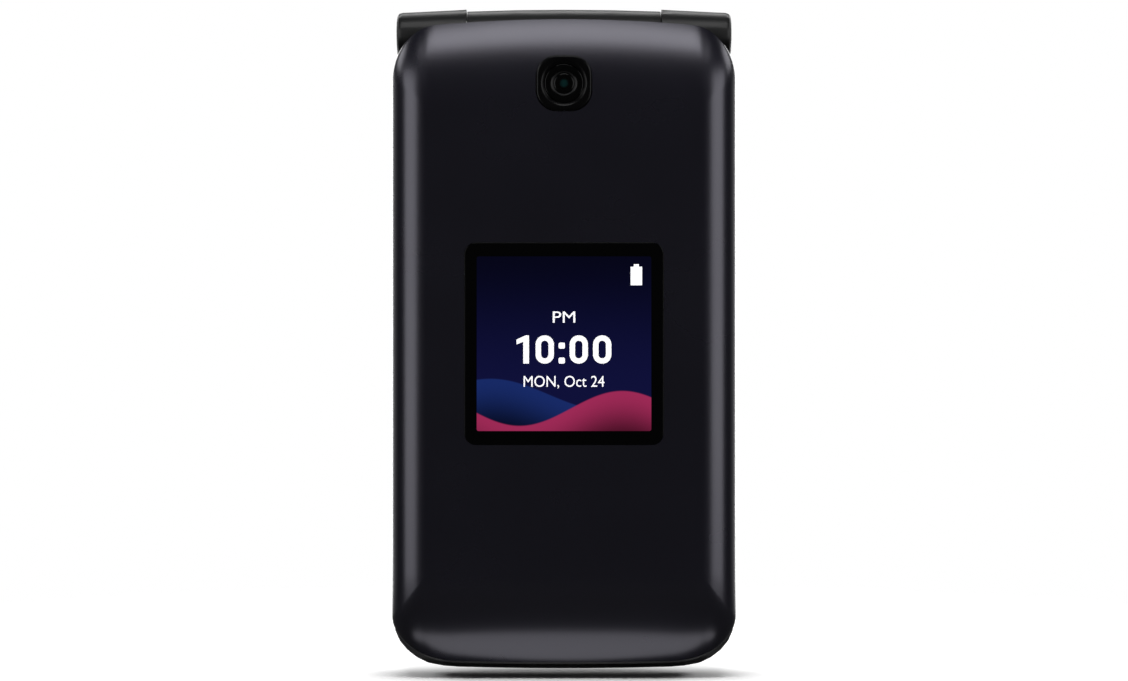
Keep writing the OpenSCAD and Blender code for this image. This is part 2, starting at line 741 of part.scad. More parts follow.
module base_front_housing() {
    color([0.1, 0.1, 0.1]) seat() difference() {
        union() {
            intersection() {
                base_body(base_y, plate_back, 0);
                along_z(-over, phone_h) polygon(both_sides([[0, 0], [half_w - 0.8, base_y - eps],
                    [half_w, base_y + 0.5], [half_w, phone_t], [0, phone_t]]));
            }
            for (sx = [-1, 1], z = screw_zs) rod_y(post_r, plate_back - eps, deck_y - 0.1, sx * screw_x, z);
        }
        for (p = plate_places) slab(p[2] + 2 * key_clear, p[3] + 2 * key_clear, p[4] + key_clear,
            base_y - over, plate_back + over / 2, p[0], p[1]);
        slab(nav_w + 4 * key_clear, nav_h + 4 * key_clear, nav_place[4] + key_clear,
            base_y - over, plate_back + over / 2, 0, nav_z);
        swing_room(sweep_r, -half_w, half_w);
        for (sx = [-1, 1], z = screw_zs) rod_y(shank_r + fit, board_y - 0.2, deck_y, sx * screw_x, z);
        block(phone_w, 30, 0, plate_back + over, 0, hinge_z - hinge_r - swing_gap + 15);
    }
}

module base_rear_housing() {
    pan_w = battery_w + 2 * battery_clear;
    pan_h = battery_h + 2 * battery_clear;
    pan_z = battery_z + battery_h / 2;
    color([0.11, 0.11, 0.11]) seat() difference() {
        union() {
            difference() {
                base_body(plate_back, cover_split, 0);
                base_body(plate_back - over, deck_y, frame_wall);
                base_body(deck_back, cover_split + over, frame_wall);
            }
            difference() {
                base_body(deck_back - eps, cover_inside, cover_wall + cover_clear);
                along_y(deck_back - over, phone_t) base_outline(rim_inset + rim_wall);
                difference() {
                    along_y(deck_back - over, phone_t) base_outline(0);
                    along_y(deck_back - over, phone_t) base_outline(rim_inset);
                }
            }
            block(pan_w + 2 * pan_wall, pan_h + 2 * pan_wall, pan_y, cover_split + 1.5, 0, pan_z);
            block(speaker_w + 2 * speaker_frame, speaker_h + 2 * speaker_frame,
                deck_back - eps, cover_split + 1.5, 0, speaker_z);
            for (sx = [-1, 1], z = screw_zs) rod_y(head_r + 0.7, deck_y, deck_back + 0.8, sx * screw_x, z);
            for (s = [0, 1]) mirror([s, 0, 0]) {
                outer_knuckle();
                translate([outer_knuckle_x, plate_back, hinge_z - hinge_r - 3])
                    cube([barrel_half - outer_knuckle_x - 1, deck_back - plate_back, hinge_r + 3]);
            }
        }
        // Battery well, speaker seat and the room of the parts behind and before the deck
        block(pan_w, pan_h, battery_y - battery_front_gap, phone_t, 0, pan_z);
        block(speaker_w + 0.2, speaker_h + 0.2, deck_back, phone_t, 0, speaker_z);
        block(contact_w + 0.4, 6, deck_back, phone_t, 0, contact_z);
        translate([jack_x - 0.1, port_y - jack_case[1] / 2 - 0.1, jack_z - jack_case[2] / 2 - 0.1])
            cube([jack_case[0] + 0.3, jack_case[1] + 0.2, jack_case[2] + 0.2]);
        rod_x(nose_r + seat_gap, -half_w - over, jack_x + over, port_y, jack_z);
        block(2 * usb_case_l, usb_w + 2 * (usb_wall + seat_gap), usb_y - usb_h / 2 - usb_wall - seat_gap,
            usb_y + usb_h / 2 + usb_wall + seat_gap, -half_w, usb_z);
        side_slot(side_key_l, side_key_z);
        side_slot(rocker_l, rocker_z);
        for (sx = [-1, 1], z = screw_zs) {
            rod_y(shank_r + 0.1, deck_y - over, phone_t, sx * screw_x, z);
            rod_y(head_r + 0.1, deck_back + 0.2, phone_t, sx * screw_x, z);
        }
        translate([half_w - 1.6, port_y - 0.4, 1.7]) rotate([0, 135, 0])
            cylinder(r = 0.45, h = 12, center = true);
        block(0.8, 1.8, port_y - 0.3, port_y + 0.9, half_w, side_key_z + 8.05);
        // Hinge: room for the centre knuckle, bores, cable chamber and its way down
        swing_room(sweep_r, -knuckle_half - knuckle_gap, knuckle_half + knuckle_gap);
        rod_x(cartridge_r + fit, 0, barrel_half - cap_recess, hinge_y, hinge_z);
        rod_x(cap_r + fit, barrel_half - cap_recess, half_w, hinge_y, hinge_z);
        rod_x(pivot_r + fit, -barrel_half + cap_recess, 0, hinge_y, hinge_z);
        rod_x(cap_r + fit, -half_w, -barrel_half + cap_recess, hinge_y, hinge_z);
        block(2.1, hinge_z - cable_z + 4, plate_back - 0.05, plate_back + 0.8, cable_x,
            (hinge_z + cable_z - 4) / 2);
        for (s = [0, 1]) mirror([s, 0, 0]) swing_room(sweep_r, barrel_half + 0.05, half_w + over);
    }
}

// Slot of a side key through the frame's wall on the +X side
module side_slot(l, z) {
    translate([half_w - frame_wall - over, side_key_y - side_key_w / 2 - key_clear, z - l / 2 - key_clear])
        cube([frame_wall + 2 * over, side_key_w + 2 * key_clear, l + 2 * key_clear]);
}

module main_circuit_board() {
    color([0.05, 0.32, 0.16]) seat() {
        difference() {
            intersection() {
                along_y(board_y, board_back) base_outline(board_inset);
                block(phone_w, board_z1 - board_z0, 0, phone_t, 0, (board_z0 + board_z1) / 2);
            }
            translate([-half_w, 0, usb_z - usb_w / 2 - 0.6]) cube([usb_case_l + 0.6, phone_t, usb_w + 1.2]);
            translate([-half_w, 0, jack_z - jack_case[2] / 2 - 0.3])
                cube([jack_case[0] + 2, phone_t, jack_case[2] + 0.6]);
            for (sx = [-1, 1], z = screw_zs) block(8, 3.4, 0, phone_t, sx * (screw_x + 2.3), z);
        }
        block(speaker_w, speaker_h + 3, board_back, board_back + 0.9, speaker_w / 2, speaker_z + 1.3);
        block(0.7 * speaker_w, 0.8 * speaker_h, board_back, board_back + 0.8, -7.5, speaker_z - 11.7);
    }
}

module key_dome_sheet() {
    sheet_w = 2 * col_pitch + num_w + 0.6;
    low = row_z - 5;
    high = jack_z - jack_case[2] / 2 - 0.35;
    color([0.75, 0.75, 0.7]) seat() {
        block(sheet_w, high - low, sheet_y, sheet_y + sheet_t, 0, (high + low) / 2);
        block(20, 6, sheet_y, sheet_y + sheet_t, 0, high + 3 - eps);
        for (p = concat(plate_places, [for (d = [[0, 0], [1, 0], [-1, 0], [0, 1], [0, -1]])
            [d[0] * (nav_w / 2 - 2.6), nav_z + d[1] * (nav_h / 2 - 2.4)]]))
            rod_y(1.6, sheet_y - dome_h, sheet_y, p[0], p[1]);
    }
}

// A key with a round-cornered cap and a flange that holds it behind the plate
module key(place) {
    w = place[2];
    h = place[3];
    slab(w, h, place[4], key_top, key_flange_y + eps, place[0], place[1]);
    slab(w + 2 * (key_clear + flange_w), h + 2 * (key_clear + flange_w), place[4] + key_clear,
        key_flange_y, key_flange_y + flange_t, place[0], place[1]);
}

module num_key(col, row) {
    color([0.12, 0.12, 0.12]) seat() key(num_place(col, row));
}

module func_key(col) {
    color([0.12, 0.12, 0.12]) seat() key(func_place(col));
}

module nav_gimbal() {
    color([0.2, 0.2, 0.2]) seat() difference() {
        slab(ok_w + 1.8, ok_h + 1.8, 3, sheet_y - 0.3, sheet_y - 0.18, 0, nav_z);
        slab(ok_w + 0.8, ok_h + 0.8, 2.4, sheet_y - over, sheet_y + over, 0, nav_z);
    }
}

module nav_ring() {
    color([0.16, 0.16, 0.16]) seat() difference() {
        union() {
            slab(nav_w, nav_h, nav_place[4], key_top, plate_back + 0.31, 0, nav_z);
            slab(nav_w + 4 * key_clear + 0.4, nav_h + 4 * key_clear + 0.4, nav_place[4] + key_clear,
                plate_back + 0.3, plate_back + 0.55, 0, nav_z);
        }
        slab(ok_w + 0.4, ok_h + 0.4, 3.2, base_y - over, sheet_y, 0, nav_z);
    }
}

module ok_key() {
    color([0.14, 0.14, 0.14]) seat() slab(ok_w, ok_h, 3, key_top, plate_back + 0.3, 0, nav_z);
}

module soft_key(i) {
    color([0.12, 0.12, 0.12]) seat() key(soft_places[i]);
}

// Key in the frame's side wall, with a flange inside the wall
module side_button(l, z, waist) {
    inner = half_w - frame_wall - 0.15;
    y0 = side_key_y - side_key_w / 2;
    flange_y = board_back + 0.15;
    difference() {
        union() {
            translate([inner - eps, y0, z - l / 2])
                cube([half_w + side_key_proud - inner + eps, side_key_w, l]);
            translate([inner - 0.6, flange_y, z - l / 2 - 0.35])
                cube([0.6, y0 + side_key_w - flange_y, l + 0.7]);
        }
        if (waist > 0) translate([half_w + 0.15, y0 - over, z - waist / 2])
            cube([over, side_key_w + 2 * over, waist]);
    }
}

module side_key() {
    color([0.1, 0.1, 0.1]) seat() side_button(side_key_l, side_key_z, 0);
}

module volume_rocker() {
    color([0.1, 0.1, 0.1]) seat() side_button(rocker_l, rocker_z, rocker_waist);
}

module side_switches() {
    inner = half_w - frame_wall - 0.75;
    color([0.6, 0.6, 0.62]) seat()
        for (z = [side_key_z, rocker_z + 0.29 * rocker_l, rocker_z - 0.29 * rocker_l])
            translate([inner - 2.4, board_back, z - 1.75]) cube([1.9, 1.7, 3.5]);
}

module audio_jack() {
    color([0.05, 0.05, 0.05]) seat() difference() {
        union() {
            translate([jack_x, port_y - jack_case[1] / 2, jack_z - jack_case[2] / 2]) cube(jack_case);
            rod_x(nose_r, -half_w + 0.05, jack_x + eps, port_y, jack_z);
        }
        rod_x(jack_r, -half_w - over, -half_w + jack_l + 0.05, port_y, jack_z);
    }
}

module micro_usb_connector() {
    h = usb_h + 2 * usb_wall;
    w = usb_w + 2 * usb_wall;
    notch = 0.7;
    color([0.7, 0.7, 0.7]) seat() translate([-half_w + 0.15, usb_y, usb_z]) {
        difference() {
            along_x(0, usb_case_l) translate([-h / 2, -w / 2]) square([h, w]);
            along_x(-over, usb_case_l - 0.6) polygon([[-usb_h / 2, usb_w / 2 - notch],
                [-usb_h / 2, notch - usb_w / 2], [notch - usb_h / 2, -usb_w / 2], [usb_h / 2, -usb_w / 2],
                [usb_h / 2, usb_w / 2], [notch - usb_h / 2, usb_w / 2]]);
        }
        translate([1, -0.1, -usb_w / 2 + 1.6]) cube([usb_case_l - 1.2, 0.6, usb_w - 3.2]);
    }
}

module loudspeaker() {
    color([0.2, 0.2, 0.21]) seat() difference() {
        slab(speaker_w, speaker_h, 2.5, deck_back + 0.02, deck_back + speaker_t, 0, speaker_z);
        slab(speaker_w - 2, speaker_h - 2, 1.8, deck_back + speaker_t - 0.5, phone_t, 0, speaker_z);
    }
}

module vibration_motor() {
    color([0.65, 0.65, 0.66]) seat() rod_y(coin_r, deck_back + 0.02, deck_back + coin_t, coin_x, coin_z);
}

module sim_card_socket() {
    sim_h = sim_z1 - sim_z0;
    color([0.7, 0.7, 0.7]) seat() difference() {
        block(sim_w, sim_h, deck_back + 0.02, deck_back + 1.3, sim_x, sim_z0 + sim_h / 2);
        block(sim_w - 2, sim_h, deck_back + 0.4, deck_back + 0.9, sim_x, sim_z0 + sim_h / 2 + 1);
    }
}

module microphone() {
    color([0.7, 0.6, 0.3]) seat() block(mic_w, mic_h, board_back, board_back + mic_t, mic_x, mic_z);
}

module antenna() {
    color([0.75, 0.65, 0.35]) seat()
        block(antenna_l, antenna_h, deck_back + 0.02, deck_back + 0.7, 0, battery_z - antenna_drop);
}

module battery_contacts() {
    color([0.75, 0.65, 0.3]) seat() {
        block(contact_w, 4, deck_back + 0.02, deck_back + 1.6, 0, contact_z + 0.8);
        for (i = [-1 : 1])
            block(1.2, 2, deck_back + 0.3, deck_back + 1.2, 0.28 * contact_w * i, contact_z - 2);
    }
}

module base_screws() {
    color([0.55, 0.55, 0.57]) seat() for (sx = [-1, 1], z = screw_zs) {
        rod_y(shank_r, board_y, deck_back + 0.2, sx * screw_x, z);
        rod_y(head_r, deck_back + 0.2, deck_back + 0.95, sx * screw_x, z);
    }
}

module battery() {
    color([0.2, 0.2, 0.22]) seat()
        slab(battery_w, battery_h, 1.5, battery_y, battery_y + battery_t, 0, battery_z + battery_h / 2);
}

// Rows of speaker holes: how many, from the lowest row up
hole_rows = [2, 3, 4, 3, 4, 3, 2];

module battery_cover() {
    cap_h = 0.7;
    cap_half = 1.4;
    dome_r = (cap_half * cap_half + cap_h * cap_h) / (2 * cap_h);
    color([0.14, 0.14, 0.14]) seat() {
        difference() {
            union() {
                base_body(cover_split, phone_t + over, 0);
                block(tab_w, 1.8, cover_split + 0.5, cover_split + 1.3, 0, base_z1 - 0.3);
            }
            base_body(cover_split - over, cover_inside, cover_wall);
            for (i = [0 : 6], j = [0 : hole_rows[i] - 1])
                rod_y(speaker_hole_r, cover_inside - over, phone_t + over,
                    (j - (hole_rows[i] - 1) / 2) * speaker_pitch, speaker_z + (i - 3) * speaker_pitch / 2);
            swing_room(sweep_r, -half_w, half_w);
        }
        for (sx = [-1, 1]) intersection() {
            translate([sx * foot_x, phone_t - cover_rise(foot_z) + cap_h - dome_r, foot_z])
                sphere(r = dome_r);
            rod_y(cap_half, phone_t - cover_rise(foot_z) - 0.4, phone_t + over, sx * foot_x, foot_z);
        }
    }
}

module speaker_mesh() {
    color([0.25, 0.25, 0.25]) seat()
        slab(speaker_w - 5, speaker_h - 1, 2, cover_inside - 0.25, cover_inside - 0.02, 0, speaker_z);
}

lid_outer_shell();
lid_inner_housing();
outer_display_window();
outer_display_panel();
camera_bezel();
camera_lens();
camera_module();
inner_display_window();
inner_display_panel();
earpiece();
earpiece_mesh();
lid_circuit_board();
lid_bumpers();
lid_screws();
hinge_shaft();
hinge_cartridge();
hinge_pivot();
hinge_end_cap();
strap_eyelet_cap();
display_cable_lid();
display_cable_base();
base_front_housing();
base_rear_housing();
main_circuit_board();
key_dome_sheet();
nav_gimbal();
nav_ring();
ok_key();
soft_key(0);  // soft_key_left
soft_key(1);  // soft_key_right
func_key(0);  // call_key
func_key(1);  // clear_key
func_key(2);  // end_key
num_key(0, 3);  // key_1
num_key(1, 3);  // key_2
num_key(2, 3);  // key_3
num_key(0, 2);  // key_4
num_key(1, 2);  // key_5
num_key(2, 2);  // key_6
num_key(0, 1);  // key_7
num_key(1, 1);  // key_8
num_key(2, 1);  // key_9
num_key(0, 0);  // key_star
num_key(1, 0);  // key_0
num_key(2, 0);  // key_hash
side_key();
volume_rocker();
side_switches();
loudspeaker();
vibration_motor();
micro_usb_connector();
audio_jack();
sim_card_socket();
microphone();
antenna();
battery_contacts();
base_screws();
battery();
battery_cover();
speaker_mesh();
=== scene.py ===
"""Dresses a packed flip phone: mouldings, keys with legends, displays and ports, each on its own body."""
import math

import bmesh
import bpy
import numpy as np
from bpy.props import FloatProperty, FloatVectorProperty, PointerProperty
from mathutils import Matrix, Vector
from mathutils.geometry import delaunay_2d_cdt


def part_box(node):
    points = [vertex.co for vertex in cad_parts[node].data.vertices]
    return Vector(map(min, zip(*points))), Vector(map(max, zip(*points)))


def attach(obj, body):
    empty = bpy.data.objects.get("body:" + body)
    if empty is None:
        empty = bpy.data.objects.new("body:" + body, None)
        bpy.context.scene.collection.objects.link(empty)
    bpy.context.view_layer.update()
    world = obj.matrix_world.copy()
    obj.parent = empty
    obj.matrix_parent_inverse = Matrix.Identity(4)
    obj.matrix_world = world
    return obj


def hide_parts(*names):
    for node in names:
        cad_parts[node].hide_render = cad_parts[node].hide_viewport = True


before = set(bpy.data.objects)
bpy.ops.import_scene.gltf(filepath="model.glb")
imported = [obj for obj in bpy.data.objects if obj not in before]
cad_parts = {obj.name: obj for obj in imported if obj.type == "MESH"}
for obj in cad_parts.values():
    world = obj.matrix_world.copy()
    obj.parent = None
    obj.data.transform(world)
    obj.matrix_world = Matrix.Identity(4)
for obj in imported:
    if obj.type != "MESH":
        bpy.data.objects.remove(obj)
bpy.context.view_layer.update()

bl_info = {
    "name": "Flip phone dressing",
    "version": (1, 0, 0),
    "blender": (4, 5, 0),
    "location": "3D View > Sidebar > Flip phone",
    "description": "Builds the finished mouldings, keys, displays and finishes of a flip phone",
    "category": "Object",
}

MM = 0.001
SHELL_BOX = [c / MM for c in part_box("lid_outer_shell")]
THICK = -SHELL_BOX[0].y  # from the lid's front to the flat back
MIDDLE = (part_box("base_rear_housing")[1] / MM).z  # the origin's height above the lowest edge
HALF = SHELL_BOX[1].x  # half the width, without the side keys


def drawn(node):
    """A node's two corners in the drawing: y runs back from the lid's front, and z up from the lowest edge"""
    low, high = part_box(node)
    shift = Vector((0, THICK, MIDDLE))
    return low / MM + shift, high / MM + shift


def middle_of(box):
    return (box[0] + box[1]) / 2


WINDOW = drawn("outer_display_window")
INNER_WINDOW = drawn("inner_display_window")
BEZEL = drawn("camera_bezel")
LENS = drawn("camera_lens")
OUTER_VIEW = 27.2, 27.2  # width and height of the lit pictures
INNER_VIEW = 42.8, 57.0

# ---------------------------------------------------------------- settings


def length(name, text, value, low, high):
    return FloatProperty(name=name, description=text, default=value * MM, min=low * MM, max=high * MM,
                         unit="LENGTH", subtype="DISTANCE", precision=5)


def colour(name, text, value):
    return FloatVectorProperty(name=name, description=text, default=value, size=3, min=0, max=1,
                               subtype="COLOR")


def amount(name, text, value, low, high):
    return FloatProperty(name=name, description=text, default=value, min=low, max=high)


class FLIPPHONE_PG_shapes(bpy.types.PropertyGroup):
    """Sizes of the mouldings that the frame leaves open"""
    edge: length("Edge break", "Rounding of the mouldings' edges", 0.1, 0.02, 0.3)
    key_crown: length("Key crown", "How far a key's edge falls away from its top", 0.16, 0.02, 0.4)
    legend: length("Legend height", "Height of the numbers on the keys", 3.4, 2, 5)
    knurl: length("Knurl pitch", "Distance between the ridges of the battery cover's knurl", 0.68, 0.3, 1.5)


class FLIPPHONE_PG_colours(bpy.types.PropertyGroup):
    """Colours of the finishes"""
    shell: colour("Shell", "Gloss shell of the lid", (0.0012, 0.0011, 0.0045))
    housing: colour("Housing", "Satin housings", (0.0075, 0.0075, 0.008))
    cover: colour("Cover", "Knurled battery cover", (0.0056, 0.0056, 0.0058))
    keys: colour("Keys", "Moulded keys", (0.022, 0.022, 0.024))
    legend: colour("Legends", "Numbers and marks on the keys", (0.78, 0.8, 0.82))
    navy: colour("Picture, upper", "Sky in the upper part of the display picture", (0.004, 0.0045, 0.04))
    blue: colour("Picture, left", "Wave at the picture's lower left", (0.008, 0.022, 0.13))
    crimson: colour("Picture, right", "Wave at the picture's lower right", (0.33, 0.022, 0.09))


class FLIPPHONE_PG_stage(bpy.types.PropertyGroup):
    """Camera, lamps and floor"""
    distance: length("Camera distance", "From the camera to the lid", 450, 200, 2000)
    lens: FloatProperty(name="Lens", description="Focal length", default=92.2, min=30, max=200, unit="CAMERA")
    lamp: amount("Lamp radiance", "Brightness of the soft boxes", 5.5, 0, 50)
    glow: amount("Table glow", "Brightness of the strip in front of the phone's lower edge", 2.6, 0, 20)
    fill: amount("Fill", "Even light from all round", 0.12, 0, 2)
    room: amount("Room", "How bright the room before and above the phone is in reflections", 0.05, 0, 1)
    floor: length("Floor radius", "Radius of the floor", 170, 100, 5000)
    # The floor's glow, which is left out under the phone to paint its shadow
    lift: amount("Floor lift", "Light of the floor's own around the phone's footprint", 0.6, 0, 1)
    drop: length("Floor drop", "From the phone's lowest point down to the floor", 0.8, 0, 10)


# ---------------------------------------------------------------- shader maths


def operator(kind, reflected=False):
    """One of Wire's operators, which adds a Math node"""
    def run(self, other):
        return self.nodes.math(kind, *((other, self) if reflected else (self, other)))
    return run


class Wire:
    """A value inside a node tree. Python's operators on it add Math nodes."""

    def __init__(self, nodes, socket):
        self.nodes = nodes
        self.socket = socket

    __add__ = __radd__ = operator("ADD")
    __mul__ = __rmul__ = operator("MULTIPLY")
    __sub__ = operator("SUBTRACT")
    __rsub__ = operator("SUBTRACT", reflected=True)
    __truediv__ = operator("DIVIDE")
    __rtruediv__ = operator("DIVIDE", reflected=True)
    __pow__ = operator("POWER")
    __rpow__ = operator("POWER", reflected=True)

    def math(self, operation, *others):
        return self.nodes.math(operation, self, *others)

    def above(self, limit):
        return self.math("GREATER_THAN", limit)

    def least(self, other):
        return self.math("MINIMUM", other)

    def most(self, other):
        return self.math("MAXIMUM", other)

    def saw(self, pitch):
        """Triangle wave from 0 to 1 and back, once every pitch"""
        return (self / pitch).math("PINGPONG", 0.5) * 2.0

    def ease(self, low, high):
        """0 below low, 1 above high, smooth between"""
        return self.nodes.node("ShaderNodeMapRange", {"interpolation_type": "SMOOTHSTEP"},
                               {"Value": self, "From Min": low, "From Max": high}).out()


class Node:
    """A node that was added"""

    def __init__(self, nodes, made):
        self.nodes = nodes
        self.made = made

    def out(self, name=0):
        return Wire(self.nodes, self.made.outputs[name])


class Nodes:
    """A node tree that is added to"""

    def __init__(self, tree):
        self.tree = tree

    def node(self, kind, settings=None, inputs=None):
        """Adds a node: its type, then its settings, then the values or links of its sockets"""
        made = self.tree.nodes.new(kind)
        for name, value in (settings or {}).items():
            setattr(made, name, value)
        for name, value in (inputs or {}).items():
            self.feed(made.inputs[name], value)
        return Node(self, made)

    def feed(self, socket, value):
        """Links a wire to a socket, or sets its value. A colour gets its fourth number"""
        if isinstance(value, Wire):
            self.tree.links.new(value.socket, socket)
        else:
            socket.default_value = (*value[:3], 1.0) if socket.type == "RGBA" else value

    def math(self, operation, *values):
        return self.node("ShaderNodeMath", {"operation": operation}, dict(enumerate(values))).out()

    def blend(self, factor, a, b):
        """Colour a where factor is 0 and b where it is 1"""
        return self.node("ShaderNodeMix", {"data_type": "RGBA"}, {"Factor": factor, 6: a, 7: b}).out(2)


class Look(Nodes):
    """A finish: a Principled shader and what feeds it"""

    def __init__(self, name):
        self.material = bpy.data.materials.new(name)
        self.material.use_nodes = True
        super().__init__(self.material.node_tree)
        self.tree.nodes.clear()
        shader = self.node("ShaderNodeBsdfPrincipled")
        self.shader = shader.made
        self.node("ShaderNodeOutputMaterial", inputs={"Surface": shader.out()})
        self.place = self.node("ShaderNodeTexCoord").out("Object")
        parts = self.node("ShaderNodeSeparateXYZ", inputs={0: self.place})
        self.x, self.y, self.z = (parts.out(i) for i in range(3))

    def noise(self, per_metre, detail, rough=0.5, place=None):
        return self.node("ShaderNodeTexNoise", None, {"Vector": place or self.place, "Scale": per_metre,
                                                      "Detail": detail, "Roughness": rough}).out()

    def set(self, **sockets):
        """Sets or links the shader's sockets: base_color is Base Color"""
        for name, value in sockets.items():
            self.feed(self.shader.inputs[name.replace("_", " ").title().replace("Ior", "IOR")], value)

    def bump(self, height, depth, strength):
        """Bump of a height from 0 to 1, depth metres deep"""
        self.set(normal=self.node("ShaderNodeBump", None, {"Height": height, "Distance": depth,
                                                           "Strength": strength}).out())


def shaded(base, factor):
    return tuple(min(1.0, c * factor) for c in base)


def from_axis(a, b):
    return (a ** 2.0 + b ** 2.0) ** 0.5


# The plain finishes. Two colours, or two shades of a setting's colour, are mixed by a cloud. A grain, or else
# the cloud, varies the roughness and makes the bump. A noise is its scale per metre and its detail, the
# roughness its base and how much the grain adds, and the bump its depth in metres and its strength.
PLAIN = {
    "shell_gloss": dict(colour=("shell", 0.8, 1.25), cloud=(60, 4), roughness=(0.25, 0.04), bump=(1e-6, 0.2),
                        specular_ior_level=0.32, specular_tint=(0.9, 0.88, 1.0)),
    "housing_satin": dict(colour=("housing", 0.85, 1.2), cloud=(80, 3), grain=(5200, 2),
                          roughness=(0.4, 0.12), bump=(4e-6, 0.5), specular_ior_level=0.28),
    # A darker copy of the housing colour for the barrel's round faces: painted shade where the lamp above
    # lights the barrel
    "barrel_black": dict(colour=("housing", 0.4, 0.6), cloud=(90, 3), grain=(5200, 2), roughness=(0.34, 0.1),
                         bump=(4e-6, 0.5), specular_ior_level=0.15),
    "print_edge": dict(colour=((0.0006, 0.0006, 0.0007), (0.0014, 0.0014, 0.0016)), cloud=(2000, 2),
                       grain=(900, 3), roughness=(0.24, 0.05), specular_ior_level=0.06),
    "key_rubber": dict(colour=("keys", 0.85, 1.2), cloud=(300, 3), grain=(7000, 2), roughness=(0.36, 0.14),
                       bump=(3e-6, 0.5), specular_ior_level=0.35),
    "legend_white": dict(colour=("legend", 0.93, 1.0), cloud=(4000, 2), roughness=(0.5, 0)),
    "legend_green": dict(colour=((0.02, 0.36, 0.07), (0.03, 0.42, 0.09)), cloud=(4000, 2),
                         roughness=(0.5, 0)),
    "legend_red": dict(colour=((0.5, 0.02, 0.02), (0.58, 0.03, 0.03)), cloud=(4000, 2), roughness=(0.5, 0)),
    "rubber": dict(colour=((0.012, 0.012, 0.012), (0.022, 0.022, 0.022)), cloud=(6000, 3),
                   roughness=(0.7, 0.1), bump=(5e-6, 0.5), specular_ior_level=0.25),
    "black_part": dict(colour=((0.009, 0.009, 0.01), (0.006, 0.006, 0.0065)), cloud=(250, 2), grain=(4500, 3),
                       roughness=(0.4, 0.15), bump=(4e-6, 0.5), specular_ior_level=0.3),
    "dome_black": dict(colour=((0.0008, 0.0008, 0.0009), (0.002, 0.002, 0.0022)), cloud=(2500, 3),
                       roughness=(0.14, 0.08), specular_ior_level=0.12),
    "port_black": dict(colour=((0.0015, 0.0015, 0.0016), (0.004, 0.004, 0.0042)), cloud=(3500, 3),
                       roughness=(0.22, 0.12), specular_ior_level=0.35),
    "gold": dict(colour=((0.62, 0.4, 0.13), (0.83, 0.6, 0.26)), cloud=(900, 4), roughness=(0.24, 0.14),
                 metallic=1.0),
    "film": dict(colour=((0.5, 0.48, 0.4), (0.66, 0.64, 0.55)), cloud=(500, 4), roughness=(0.3, 0.15),
                 bump=(2e-5, 0.4)),
    "display": dict(colour=((0.02, 0.025, 0.05), (0.04, 0.05, 0.1)), cloud=(300, 3), roughness=(0.25, 0.1)),
}


